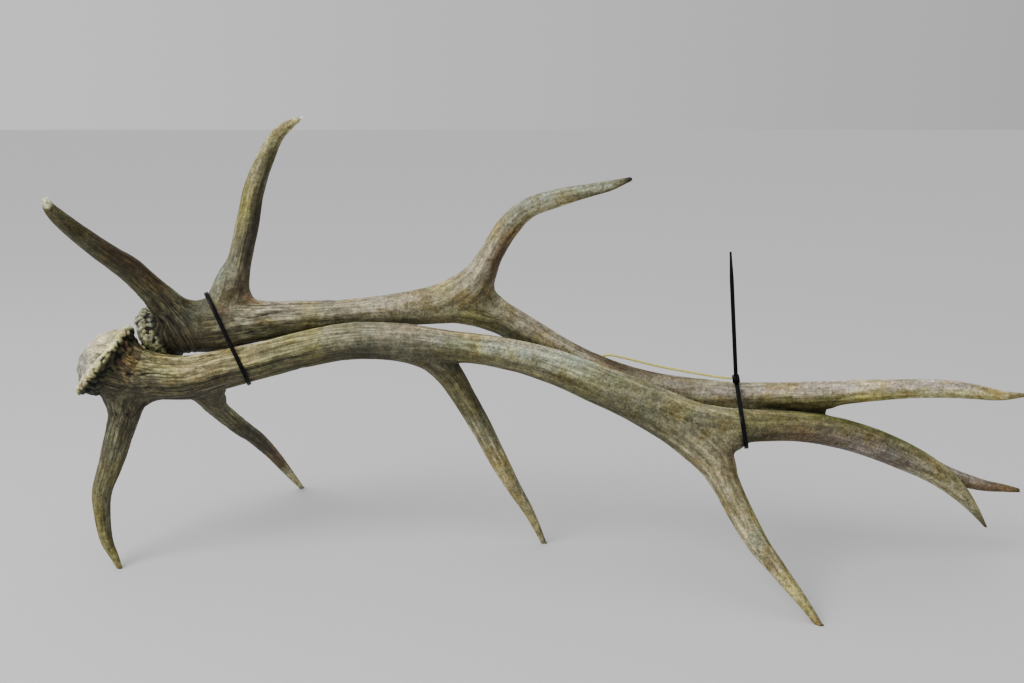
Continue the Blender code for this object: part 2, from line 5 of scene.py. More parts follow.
import bpy
import numpy as np
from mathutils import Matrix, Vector


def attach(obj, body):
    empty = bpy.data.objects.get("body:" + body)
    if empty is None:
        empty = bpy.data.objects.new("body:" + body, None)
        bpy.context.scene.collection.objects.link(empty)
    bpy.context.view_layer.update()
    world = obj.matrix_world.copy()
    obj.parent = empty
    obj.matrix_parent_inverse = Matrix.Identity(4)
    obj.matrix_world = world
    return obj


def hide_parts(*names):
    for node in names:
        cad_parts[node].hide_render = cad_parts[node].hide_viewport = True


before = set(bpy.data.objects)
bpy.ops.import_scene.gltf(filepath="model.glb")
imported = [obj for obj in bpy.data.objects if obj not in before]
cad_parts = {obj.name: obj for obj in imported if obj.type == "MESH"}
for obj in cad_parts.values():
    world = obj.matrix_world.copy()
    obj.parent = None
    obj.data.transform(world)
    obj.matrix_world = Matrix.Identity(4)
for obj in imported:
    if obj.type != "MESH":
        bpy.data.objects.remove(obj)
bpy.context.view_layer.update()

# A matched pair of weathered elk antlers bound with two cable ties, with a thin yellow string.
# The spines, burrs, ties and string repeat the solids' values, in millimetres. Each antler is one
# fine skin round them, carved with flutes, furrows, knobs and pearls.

MM = 0.001
FOOTPRINT_MIDDLE = (51.2, 66.5, 0.0)  # of the spines' own frame: it becomes the origin

# A spine's points: x, y, z and the branch's radius there.
NEAR_SPINES = {
    "beam": [
        (-441, 30, 227, 35), (-427, 31, 221, 30), (-406, 33, 217, 25.5), (-368, 36, 214, 24.2),
        (-329, 38, 221.8, 22), (-283, 38, 232.5, 20.3), (-238, 38, 244.3, 20), (-181, 36, 255, 20.3),
        (-125, 34, 255, 19.5), (-69, 30, 251, 17.1), (-13, 25, 245, 17.1), (42, 18, 232, 19),
        (97, 10, 212, 20.5), (152, 2, 192, 20.5), (207, -5, 174, 19), (261, -9, 170, 17.5),
        (316, -9, 169, 16.2), (373, -5, 157.6, 16.6), (432, 3, 133.6, 15.5), (475, 11, 109.4, 12.9),
        (505, 17, 86, 10), (527, 22, 62, 5.5), (544, 26, 39.5, 1.5),
    ],
    "brow_tine": [
        (-372, 35, 216, 10), (-408, 33, 208, 18), (-432, 30, 195, 23), (-436.3, 28, 173, 17.7),
        (-444, 25, 147, 15.4), (-453.6, 20, 116, 13.5), (-463, 14, 86, 11.2), (-463, 9, 61, 9.3),
        (-458.4, 4, 32, 7.2), (-449.8, 1, 13, 4.9), (-443.8, 0, -2, 2.8),
    ],
    "bez_tine": [
        (-407, 38, 218, 9), (-371, 44, 208, 13.5), (-353.5, 62, 188, 13.3), (-345.5, 88, 163, 11.2),
        (-333.3, 122, 135, 10.4), (-317.8, 172, 99, 9.6), (-306.2, 215, 63, 7.6), (-294.8, 255, 25, 5.2),
        (-285, 280.5, -2, 2.9),
    ],
    "trez_tine": [
        (-170, 36, 255, 8), (-125, 35, 251, 14), (-92, 37, 238, 16), (-71, 41, 216, 14.9),
        (-53.7, 46, 186, 13.3), (-35.4, 53, 151, 12.1), (-16, 61, 109, 10.8), (3.2, 68, 71, 8.3),
        (22.5, 73, 36, 5.9), (39.6, 77, -3.5, 3.1),
    ],
    "royal_tine": [
        (86, 10, 213, 9), (141, 1, 189, 17.5), (188, -12, 161, 19), (220.4, -28, 136, 19.8),
        (229.8, -43, 117, 15.5), (243.6, -66, 89, 13.3), (258.3, -88, 64, 11.4), (277.2, -110, 42, 8.6),
        (295.5, -130, 21, 6), (313.8, -147.5, -3.5, 3.3),
    ],
    "fork_web": [(218, -16, 152, 14), (243, -18, 156, 10)],
    "bez_web": [(-337.8, 58, 195.3, 9.2), (-344.2, 64, 187.7, 10.2), (-343.7, 72, 178.4, 9.8)],
}
FAR_SPINES = {
    "beam": [
        (-400, 78, 257, 27), (-380, 72.5, 262, 28), (-346, 65, 267.6, 29.2), (-307, 60, 271.8, 25.4),
        (-262, 61, 276, 20.3), (-206, 68, 278, 17.6), (-150, 69, 282.8, 17.4), (-93, 64, 288.8, 18.7),
        (-59, 61, 290, 19.1), (-19, 60, 280, 18.5), (20, 58, 259, 17.5), (66, 54, 232, 17.5),
        (111, 54, 210, 19), (168, 47, 192, 20.3), (235, 36, 179.5, 20.8), (291, 30.5, 169, 19.3),
        (358, 29, 154, 16), (406, 32, 140, 14.4), (461, 38, 116, 12), (500, 44, 97, 9.7),
        (546, 51, 81.4, 6.6), (573, 54, 76.6, 4.5), (592, 56, 73, 2.5),
    ],
    "brow_tine": [
        (-335, 62, 268, 10), (-365, 60, 273, 16), (-388, 54, 293, 17.9), (-403, 44, 313.6, 15.5),
        (-419, 28, 336.6, 14.1), (-439, 8, 358.6, 11.8), (-457, -12, 380.4, 10.2), (-469, -32, 399.4, 8.3),
        (-474, -46, 412, 6.1), (-474, -54, 420, 4.4),
    ],
    "bez_tine": [
        (-358, 60, 273, 9), (-330, 60, 283, 14.5), (-318, 64, 306, 16.2), (-309.8, 71, 336, 13.5),
        (-300.2, 82, 379, 13.2), (-293.6, 95, 419, 12), (-281.6, 107, 454, 10.2), (-268, 115, 480, 7.8),
        (-254, 120, 492, 5.4), (-240, 123, 499, 1.6),
    ],
    "trez_tine": [
        (-144, 62, 284, 8), (-98, 60, 293, 15.6), (-66.5, 56, 304, 18.7), (-40.5, 50, 322, 17.9),
        (-23.3, 42, 352, 13.4), (-5.6, 32, 382, 12.7), (17.2, 20, 405, 11.1), (47.5, 6, 417.4, 9.8),
        (82, -10, 427.2, 6.9), (104, -20, 433.4, 5.3), (122.5, -28, 440.2, 2.4),
    ],
    "royal_tine": [
        (145, 43, 202, 10), (195, 36, 195, 16), (250, 28, 196, 13.5), (304, 19, 199, 13),
        (353, 7, 203, 13.3), (391, -6, 209, 12.4), (429, -22, 215, 10.6), (461, -38, 219, 9.7),
        (487, -54, 220, 8), (507, -69, 220, 5.4), (530, -85, 224.5, 1.6),
    ],
    "fork_web": [(291, 29, 182, 9), (325, 24, 180, 7.5), (343.5, 19.5, 179.5, 5.2)],
    "royal_web": [(330, 14, 192, 5.5), (352, 9, 192.5, 4.5)],
    "bez_web": [(-316, 62, 294, 12), (-306, 62, 297.5, 9.5)],
    "heel_web": [(-327.9, 60, 300, 12.3), (-323.7, 62, 309.8, 12.8), (-318.6, 66, 322.6, 12.3)],
    "trez_web": [(-34, 52, 308, 12), (-28.5, 54, 302, 10.4), (-21, 56, 295, 9)],
}
# The furrows of the far brow tine run on down past the burr, round the beam.
FAR_GUIDES = {
    "whorl": [
        (-388, 76, 216, 26), (-373, 74, 229, 30), (-367, 68, 247, 32), (-373, 61, 269, 32),
        (-388, 54, 293, 25),
    ],
}
TINES = ("brow_tine", "bez_tine", "trez_tine", "royal_tine")

# A burr's middle, the way it faces, its radius and its seal's height as a share of that. Then its
# surface: how far forward the smooth seal starts and the painted shade behind the beads ends, the
# size and height of the knobs on its ring, and the colour of its beads, darker on the far burr as
# painted shade.
NEAR_BURR = {
    "middle": (-454.5, 30, 235), "faces": (-0.757, -0.08, 0.653), "radius": 43, "dome": 0.47,
    "smooth_from": 1.0, "dark_until": (-4.0, 2.0), "knob": 5.6, "relief": 3.2,
    "beads": (0.52, 0.50, 0.30),
}
FAR_BURR = {
    "middle": (-408, 78, 250), "faces": (-0.9, 0.1, -0.42), "radius": 34, "dome": 0.28,
    "smooth_from": 11.0, "dark_until": (-15.0, -9.0), "knob": 4.3, "relief": 2.2,
    "beads": (0.33, 0.34, 0.235),
}
RING_RADIUS = 6.5  # of the solid ring under the beads
RING_SPHERES = 72
COLLAR_RADIUS = 9.0
COLLAR_INSET = 12.0
BURR_BEADS = 32
BEAD_RADII = (3.4, 5.4)
BEAD_TURNS = (-0.25, 0.25)  # how far a bead strays, as a share of the step between beads
BEAD_OUTS = (-1.5, 1.0)
BEAD_FORWARDS = (-2.0, 3.0)
BACK_ROW_SHARE = 0.75  # of a bead's size
BACK_ROW_INSET = 5.0
BACK_ROW_OFFSET = -6.5
BACK_ROW_FORWARDS = (-1.5, 1.5)
SEAL_KNOBS = 14
SEAL_RADII = (5.5, 7.0)
SEAL_REACH = 0.7  # of the burr's radius
SEAL_FALL = 0.8  # how much of the seal's height is lost at its edge
GOLDEN_TURN = 2.4
BEAD_GAP = 2.4  # between the beads and the other antler
HOLDING_ROUNDS = 2

SPINE_STEP = 2.0
FORK_BLEND = 5.0  # how far two branches flow into each other
BEAD_BLEND = 1.6
ROUGH_SKIN = 4.0  # the first skin lies this far outside the true one
ROUGH_STRIDE = 4  # it takes one sphere in four
ROUGH_VOXEL = 3.0
FINE_VOXEL = 1.75
ROUGH_SETTLING = 4
FINE_SETTLING = 2
LEAST_SLOPE = 0.25  # keeps a step short where the ways out cancel
POINTS_AT_ONCE = 4096
TUBE_SIDES = 16
DISC_STATIONS = [(-9.0, -6.0), (-3.0, 0.0), (3.0, 0.0), (9.0, -6.0)]  # along the burr's way, more reach

STRING_DIAMETER = 2.6
STRING_STEP = 4.4
STRING_ROUTE = [
    (246.5, 31, 213.7), (233.8, 34, 214.3), (212.2, 40, 216.6), (190.3, 46, 219.4), (168.2, 51, 222.6),
    (146, 57, 226.8), (125.8, 62, 230.8), (110, 68, 232.2), (99, 75, 226), (95, 79, 212), (94, 79.5, 194),
]

BURR_END_TIE = {"middle": (-317, 46, 248), "along": (0.883, 0.290, 0.370), "reach": 84, "head_at": 325}
FORK_END_TIE = {"middle": (255, 14, 180), "along": (0.973, -0.142, 0.183), "reach": 66, "head_at": 75}
STRAP_WIDTH = 4.8
HEAD_SIZE = (8.2, 8.6, 7.6)
STRAP_THICKNESS = 1.3
STRAP_CLEARANCE = 1.6
STRAP_RAYS = 180
STRAP_SMOOTHING = 8
STRAP_POINTS = 180
RAY_STEPS = 60
LOOP_SAMPLES = 360
LONG_TAIL = 143.0
SHORT_TAIL = 7.0
TAIL_WIDTH = 4.5
TAIL_END_WIDTH = 2.4
TAIL_THICKNESS = 1.2
TAIL_TAPER = 34.0
TOOTH_STEP = 0.6
TOOTH_DEPTHS = (0.1, 0.35)


def unit(vector):
    vector = np.asarray(vector, float)
    return vector / np.linalg.norm(vector)


def placed(name, data):
    """A new object in the scene."""
    made = bpy.data.objects.new(name, data)
    bpy.context.scene.collection.objects.link(made)
    return made


# --- camera ---

camera = placed("camera", bpy.data.cameras.new("camera"))
camera.data.lens = 42.1875
camera.data.sensor_width = 36.0
camera.location = (-0.0512, -1.3435, 0.534)
camera.rotation_euler = (math.radians(78.0), 0.0, 0.0)  # it looks 12 degrees down
bpy.context.scene.camera = camera


# --- the skin round the spines, as in the solids ---


def smooth_curve(points, step):
    """Samples about `step` apart on the centripetal Catmull-Rom curve through `points`."""
    knots = np.asarray(points, float)
    knots = np.vstack([2 * knots[0] - knots[1], knots, 2 * knots[-1] - knots[-2]])
    samples = []
    for a, b, c, d in zip(knots, knots[1:], knots[2:], knots[3:]):
        t1 = np.linalg.norm((b - a)[:3]) ** 0.5
        t2 = t1 + np.linalg.norm((c - b)[:3]) ** 0.5
        t3 = t2 + np.linalg.norm((d - c)[:3]) ** 0.5
        count = max(2, round(np.linalg.norm((c - b)[:3]) / step))
        t = np.linspace(t1, t2, count, endpoint=False)[:, None]
        ab = ((t1 - t) * a + t * b) / t1
        bc = ((t2 - t) * b + (t - t1) * c) / (t2 - t1)
        cd = ((t3 - t) * c + (t - t2) * d) / (t3 - t2)
        abc = ((t2 - t) * ab + t * bc) / t2
        bcd = ((t3 - t) * bc + (t - t1) * cd) / (t3 - t1)
        samples.append(((t2 - t) * abc + (t - t1) * bcd) / (t2 - t1))
    samples.append(knots[-2][None, :])
    return np.vstack(samples)


def nearest_sphere(points, spheres):
    """For each point, the sphere whose surface is nearest, how far off it is and the way out of it."""
    centres, radii = spheres[:, :3], spheres[:, 3]
    coarse, coarse_radii = centres.astype(np.float32), radii.astype(np.float32)
    nearest = np.empty(len(points), int)
    for start in range(0, len(points), POINTS_AT_ONCE):
        block = points[start : start + POINTS_AT_ONCE].astype(np.float32)
        square = (block**2).sum(1)[:, None] + (coarse**2).sum(1) - 2 * block @ coarse.T
        reach = np.sqrt(np.maximum(square, 0)) - coarse_radii
        nearest[start : start + POINTS_AT_ONCE] = reach.argmin(1)
    away = points - centres[nearest]
    length = np.maximum(np.linalg.norm(away, axis=1), 1e-9)
    return nearest, length - radii[nearest], away / length[:, None]


def blended(distances, ways_out, blend):
    """The smooth union of several distances, with the way out of it."""
    distances = np.array(distances)
    lowest = distances.min(0)
    weights = np.exp((lowest - distances) / blend)
    total = weights.sum(0)
    way_out = ((weights / total)[:, :, None] * np.array(ways_out)).sum(0)
    return lowest - blend * np.log(total), way_out


def skin_distance(points, antler):
    found = [nearest_sphere(points, spheres)[1:] for spheres in antler["branches"].values()]
    bone, bone_out = blended([f[0] for f in found], [f[1] for f in found], FORK_BLEND)
    _, bead, bead_out = nearest_sphere(points, antler["beads"])
    return blended([bone, bead], [bone_out, bead_out], BEAD_BLEND)


def settled(points, antler, steps):
    """The points moved along the ways out until they lie on the skin."""
    for _ in range(steps):
        distance, out = skin_distance(points, antler)
        slope = np.maximum((out**2).sum(1), LEAST_SLOPE)
        points = points - (distance / slope)[:, None] * out
    return points


def carried_axes(spheres):
    """Two axes across a spine, carried along it without twist, and the length run so far."""
    tangents = np.gradient(spheres[:, :3], axis=0)
    tangents /= np.linalg.norm(tangents, axis=1)[:, None]
    side = unit(np.cross(tangents[0], (0.0, 1.0, 0.3)))
    sides = []
    for tangent in tangents:
        side = unit(side - tangent * (side @ tangent))
        sides.append(side)
    steps = np.linalg.norm(np.diff(spheres[:, :3], axis=0), axis=1)
    run = np.concatenate([[0.0], np.cumsum(steps)])
    return np.array(sides), np.cross(tangents, sides), run


def burr_beads(burr, dice):
    """The ring, its beads, a smaller row behind them and low knobs over the seal, all as spheres."""
    middle, faces = np.array(burr["middle"], float), unit(burr["faces"])
    side = unit(np.cross(faces, (0.0, 1.0, 0.0)))
    up = np.cross(faces, side)
    radius = burr["radius"]
    spheres = []

    def add(angle, reach, forward, size):
        place = middle + faces * forward + (side * math.cos(angle) + up * math.sin(angle)) * reach
        spheres.append((*place, size))

    for step in range(RING_SPHERES):
        angle = step / RING_SPHERES * math.tau
        add(angle, radius - RING_RADIUS / 2, 0.0, RING_RADIUS)
        add(angle, radius - COLLAR_INSET, -COLLAR_RADIUS, COLLAR_RADIUS)
    for step in range(BURR_BEADS):
        angle = (step + dice.uniform(*BEAD_TURNS)) / BURR_BEADS * math.tau
        reach, forward = radius + dice.uniform(*BEAD_OUTS), dice.uniform(*BEAD_FORWARDS)
        add(angle, reach, forward, dice.uniform(*BEAD_RADII))
        small = dice.uniform(*BEAD_RADII) * BACK_ROW_SHARE
        half_step = math.pi / BURR_BEADS
        behind = BACK_ROW_OFFSET + dice.uniform(*BACK_ROW_FORWARDS)
        add(angle + half_step, radius - BACK_ROW_INSET, behind, small)
    for step in range(SEAL_KNOBS):
        share = math.sqrt((step + 0.5) / SEAL_KNOBS)
        dome = burr["dome"] * radius * math.sqrt(1.0 - SEAL_FALL * share**2)
        add(step * GOLDEN_TURN, share * radius * SEAL_REACH, dome, dice.uniform(*SEAL_RADII))
    return np.array(spheres)


def antler_of(spines, burr, seed, guides):
    """An antler's spheres by branch, its furrows' extra guides and its burr's beads, in the part's frame."""
    branches = {name: smooth_curve(spine, SPINE_STEP) for name, spine in spines.items()}
    guides = {name: smooth_curve(spine, SPINE_STEP) for name, spine in guides.items()}
    beads = burr_beads(burr, random.Random(seed))
    for spheres in (*branches.values(), *guides.values(), beads):
        spheres[:, :3] -= FOOTPRINT_MIDDLE
    return {"branches": branches, "guides": guides, "beads": beads}


def held_off(beads, antler):
    """Pushes beads back until they clear another antler."""
    distance, out = skin_distance(beads[:, :3], antler)
    short = np.maximum(beads[:, 3] + BEAD_GAP - distance, 0.0)
    beads[:, :3] += out / np.linalg.norm(out, axis=1)[:, None] * short[:, None]


# --- meshes ---


def object_of(name, vertices, faces, material):
    mesh = bpy.data.meshes.new(name)
    mesh.from_pydata([tuple(v) for v in np.asarray(vertices) * MM], [], faces)
    mesh.materials.append(material)
    return placed(name, mesh)


def joined(parts):
    """The vertices and faces of several parts as those of one."""
    vertices, faces = np.empty((0, 3)), []
    for points, quads in parts:
        faces += [tuple(i + len(vertices) for i in quad) for quad in quads]
        vertices = np.vstack([vertices, points])
    return vertices, faces


def skinned(rings, closed=False, tips=()):
    """Rings of equal size joined in a row, which is closed or has flat ends or ends drawn to tips."""
    count, size = len(rings), len(rings[0])
    last = (count - 1) * size
    faces = []
    for k in range(count if closed else count - 1):
        m = (k + 1) % count
        for i in range(size):
            j = (i + 1) % size
            faces.append((k * size + i, k * size + j, m * size + j, m * size + i))
    if tips:
        for i in range(size):
            j = (i + 1) % size
            faces += [(j, i, last + size), (last + i, last + j, last + size + 1)]
    elif not closed:
        faces += [tuple(range(size))[::-1], tuple(last + i for i in range(size))]
    return np.vstack([np.array(rings).reshape(-1, 3), *tips]), faces


def points_of(mesh):
    flat = np.empty(len(mesh.vertices) * 3)
    mesh.vertices.foreach_get("co", flat)
    return flat.reshape(-1, 3) / MM


def move_points(mesh, points):
    mesh.vertices.foreach_set("co", (points * MM).ravel())
    mesh.update()


def tube(spheres):
    """Rings round a spine, outside its skin, with pointed ends."""
    side, up, _ = carried_axes(spheres)
    reach = spheres[:, 3] + ROUGH_SKIN
    turns = np.arange(TUBE_SIDES) / TUBE_SIDES * math.tau
    ring = np.cos(turns)[:, None, None] * side + np.sin(turns)[:, None, None] * up
    walls = spheres[:, :3] + ring * reach[:, None]
    first = spheres[0, :3] + unit(spheres[0, :3] - spheres[1, :3]) * reach[0]
    last = spheres[-1, :3] + unit(spheres[-1, :3] - spheres[-2, :3]) * reach[-1]
    return skinned(walls.transpose(1, 0, 2), tips=(first, last))


def rough_antler(name, antler, burr, material):
    """Fat tubes round every spine and a disc for the burr, all overlapping."""
    middle = np.array(burr["middle"], float) - FOOTPRINT_MIDDLE
    way, reach = unit(burr["faces"]), burr["radius"] + RING_RADIUS
    disc = np.array([(*(middle + way * forward), reach + more) for forward, more in DISC_STATIONS])
    runs = [spheres[::ROUGH_STRIDE] for spheres in antler["branches"].values()]
    return object_of(name, *joined(tube(spheres) for spheres in (*runs, disc)), material)


def remeshed(thing, voxel):
    """Replaces the object's mesh with one voxel skin round it."""
    remesh = thing.modifiers.new("Skin", "REMESH")
    remesh.mode = "VOXEL"
    remesh.voxel_size = voxel * MM
    bpy.context.view_layer.update()
    graph = bpy.context.evaluated_depsgraph_get()
    made = bpy.data.meshes.new_from_object(thing.evaluated_get(graph))
    thing.modifiers.clear()
    thing.data = made


# --- the carved surface ---

NOISE_CELLS = 32
LAYER_SHIFT = 7.3
KNOB_CELLS = 16
KNOB_REACH = 0.75  # of a cell


def lattice_noise(places, seed):
    """Smooth noise from 0 to 1, one lattice cell to each unit."""
    table = np.random.default_rng(seed).random((NOISE_CELLS,) * 3)
    cell = np.floor(places).astype(int)
    part = places - cell
    ease = part * part * (3 - 2 * part)
    total = np.zeros(len(places))
    for corner in itertools.product((0, 1), repeat=3):
        share = np.where(corner, ease, 1 - ease).prod(1)
        i, j, k = ((cell + corner) % NOISE_CELLS).T
        total += share * table[i, j, k]
    return total


def layered(places, seed, layers):
    """Noise from 0 to 1 with ever finer layers."""
    total, share, whole = 0.0, 1.0, 0.0
    for layer in range(layers):
        total = total + share * lattice_noise(places * 2.0**layer + LAYER_SHIFT * layer, seed + layer)
        whole += share
        share *= 0.5
    return total / whole


def knobs(places, seed):
    """Round knobs from 0 to 1, one to each cell of a jittered lattice."""
    table = np.random.default_rng(seed).random((KNOB_CELLS,) * 3 + (3,))
    cell = np.floor(places).astype(int)
    nearest = np.full(len(places), np.inf)
    for step in itertools.product((-1, 0, 1), repeat=3):
        other = cell + step
        i, j, k = (other % KNOB_CELLS).T
        nearest = np.minimum(nearest, np.linalg.norm(other + table[i, j, k] - places, axis=1))
    return np.maximum(1.0 - (nearest / KNOB_REACH) ** 2, 0.0)


def between(low, high, values):
    """A smooth rise from 0 at `low` to 1 at `high`."""
    t = np.clip((values - low) / (high - low), 0.0, 1.0)
    return t * t * (3 - 2 * t)


# How deep the furrows are along each branch: share of its length, depth in mm.
FURROWS = {
    "beam": [(0.0, 0.9), (0.12, 0.8), (0.22, 0.5), (0.35, 0.24), (0.5, 0.17), (0.93, 0.12), (1.0, 0.0)],
    "brow_tine": [(0.0, 0.9), (0.45, 0.75), (0.7, 0.4), (0.9, 0.1), (1.0, 0.0)],
    "bez_tine": [(0.0, 0.8), (0.45, 0.55), (0.75, 0.25), (0.92, 0.05), (1.0, 0.0)],
    "trez_tine": [(0.0, 0.45), (0.4, 0.35), (0.8, 0.18), (0.93, 0.05), (1.0, 0.0)],
    "royal_tine": [(0.0, 0.35), (0.4, 0.35), (0.8, 0.18), (0.93, 0.05), (1.0, 0.0)],
    "whorl": [(0.0, 0.9)],
}
WEB_FURROWS = [(0.0, 0.3)]
DEEPEST_FURROW = 0.9
# Wide and narrow furrows: a cell's length and width, which way they sway, where a valley starts and
# how much of the depth it takes.
FURROW_SETS = [(46.0, 6.0, 1.0, 0.6, 0.8), (32.0, 3.6, -1.0, 0.5, 0.6)]
NARROW_SEED = 20
SWAY = 1.6
FLUTES = 9
FLUTE_DEPTH = 0.9
FLUTE_PITCH = 60.0
FLUTED_RADIUS = 22.0  # flutes are at their full depth on a branch this thick

# The noises over the skin: size of a cell in mm, layers, and what is added to the antler's seed.
NOISES = {
    "sway": (34.0, 1, 50), "ragged": (12.0, 3, 60), "pearls": (4.4, 1, 70), "waves": (21.0, 1, 72),
    "pits": (5.0, 3, 73), "clouds": (12.0, 3, 74), "stains": (7.0, 3, 75),
}
KNOB_SEED = 71
WAVE_HEIGHT = 0.5
PEARL_HEIGHT = 0.8
PEARL_LEVEL = 0.6
PEARLED_REACH = (4.0, 60.0)  # past the burr's radius
KNOB_LEVEL = 0.6
PIT_DEPTH = 0.8
CREVICE_RANGE = (0.12, 0.55)  # of a knob's height
SEAL_EDGE = 7.0
SEAL_SPAN = 1.6  # of the burr's radius
SEAL_PASSES = 12
SEAL_SMOOTHING = 0.8
BEAD_EDGE = 1.5

# Where the lit side of a branch begins and is full, and its crest, by how far the skin faces that way.
LIT_RANGE = (-0.3, 0.65)
CREST_RANGE = (0.62, 0.9)
RAGGEDNESS = 0.7
SINGLE_RANGE = (0.5, 0.85)
SPOT_EDGE = (0.6, 1.2)
# Smoothing passes for small and wide hollows, and the depth in mm that counts as full.
HOLLOWS = {"hollow": (4, 0.5), "deep": (26, 2.4)}

BROWN = (0.115, 0.080, 0.042)
CREAM = (0.55, 0.50, 0.37)
GREY_GREEN = (0.225, 0.232, 0.165)
GREY_TAN = (0.31, 0.275, 0.19)
KHAKI = (0.25, 0.235, 0.135)
LICHEN = (0.36, 0.38, 0.28)
MOSS = (0.14, 0.145, 0.045)
OLIVE = (0.085, 0.080, 0.042)
ORANGE_BROWN = (0.165, 0.095, 0.045)
PINK_GREY = (0.40, 0.35, 0.285)
PITCH = (0.012, 0.013, 0.007)
REDDISH = (0.18, 0.105, 0.075)
SAND = (0.33, 0.285, 0.135)
TAN = (0.30, 0.265, 0.155)
STONE = (0.24, 0.24, 0.235)
UMBER = (0.050, 0.043, 0.024)
WHITE_TIP = (0.72, 0.74, 0.58)
YELLOW_OLIVE = (0.22, 0.20, 0.075)


def dim(colour, share):
    return tuple(share * value for value in colour)


# Colours along each branch: share of its length, colour of the lit side, of the other side.
# The lit side is paler and the other side darker partly as painted light and shade, partly by the bone's own
# colour.
NEAR_TINTS = {
    "beam": [
        (0.0, REDDISH, UMBER), (0.03, KHAKI, UMBER), (0.07, SAND, UMBER), (0.154, SAND, OLIVE),
        (0.2, KHAKI, dim(OLIVE, 0.85)), (0.254, KHAKI, dim(OLIVE, 0.7)), (0.308, GREY_TAN, dim(OLIVE, 0.65)),
        (0.361, GREY_GREEN, dim(OLIVE, 0.75)), (0.415, LICHEN, dim(OLIVE, 1.5)),
        (0.48, LICHEN, dim(OLIVE, 1.5)), (0.526, dim(GREY_GREEN, 0.85), dim(OLIVE, 1.3)),
        (0.582, dim(KHAKI, 0.72), dim(OLIVE, 1.2)), (0.637, dim(KHAKI, 0.75), OLIVE),
        (0.689, dim(YELLOW_OLIVE, 0.75), OLIVE), (0.741, dim(SAND, 0.46), dim(BROWN, 0.8)),
        (0.796, dim(SAND, 0.44), dim(PINK_GREY, 0.38)), (0.857, dim(SAND, 0.58), dim(PINK_GREY, 0.45)),
        (0.905, dim(SAND, 0.9), dim(KHAKI, 1.1)), (0.95, YELLOW_OLIVE, KHAKI),
        (0.985, dim(KHAKI, 0.8), OLIVE), (1.0, OLIVE, UMBER),
    ],
    "brow_tine": [
        (0.0, KHAKI, UMBER), (0.24, dim(OLIVE, 0.85), UMBER), (0.54, dim(KHAKI, 0.55), OLIVE),
        (0.75, dim(YELLOW_OLIVE, 0.7), OLIVE), (0.86, dim(YELLOW_OLIVE, 0.75), OLIVE),
        (0.95, YELLOW_OLIVE, YELLOW_OLIVE), (1.0, KHAKI, KHAKI),
    ],
    "bez_tine": [
        (0.0, KHAKI, UMBER), (0.29, dim(KHAKI, 0.8), OLIVE), (0.5, OLIVE, UMBER), (0.62, BROWN, UMBER),
        (0.76, dim(ORANGE_BROWN, 0.9), BROWN), (0.86, YELLOW_OLIVE, KHAKI), (1.0, KHAKI, KHAKI),
    ],
    "trez_tine": [
        (0.0, dim(GREY_GREEN, 0.8), OLIVE), (0.31, dim(KHAKI, 0.42), UMBER), (0.45, dim(KHAKI, 0.6), OLIVE),
        (0.58, TAN, KHAKI), (0.72, TAN, dim(KHAKI, 0.8)), (0.88, dim(YELLOW_OLIVE, 0.9), KHAKI),
        (0.97, KHAKI, OLIVE), (1.0, BROWN, OLIVE),
    ],
    "royal_tine": [
        (0.0, OLIVE, OLIVE), (0.3, dim(KHAKI, 0.75), OLIVE), (0.45, dim(TAN, 0.75), BROWN),
        (0.6, dim(TAN, 0.9), YELLOW_OLIVE), (0.8, dim(TAN, 0.95), YELLOW_OLIVE),
        (0.93, YELLOW_OLIVE, KHAKI), (1.0, BROWN, OLIVE),
    ],
    "fork_web": [(0.0, dim(KHAKI, 0.7), OLIVE)],
    "bez_web": [(0.0, dim(KHAKI, 0.6), UMBER)],
}
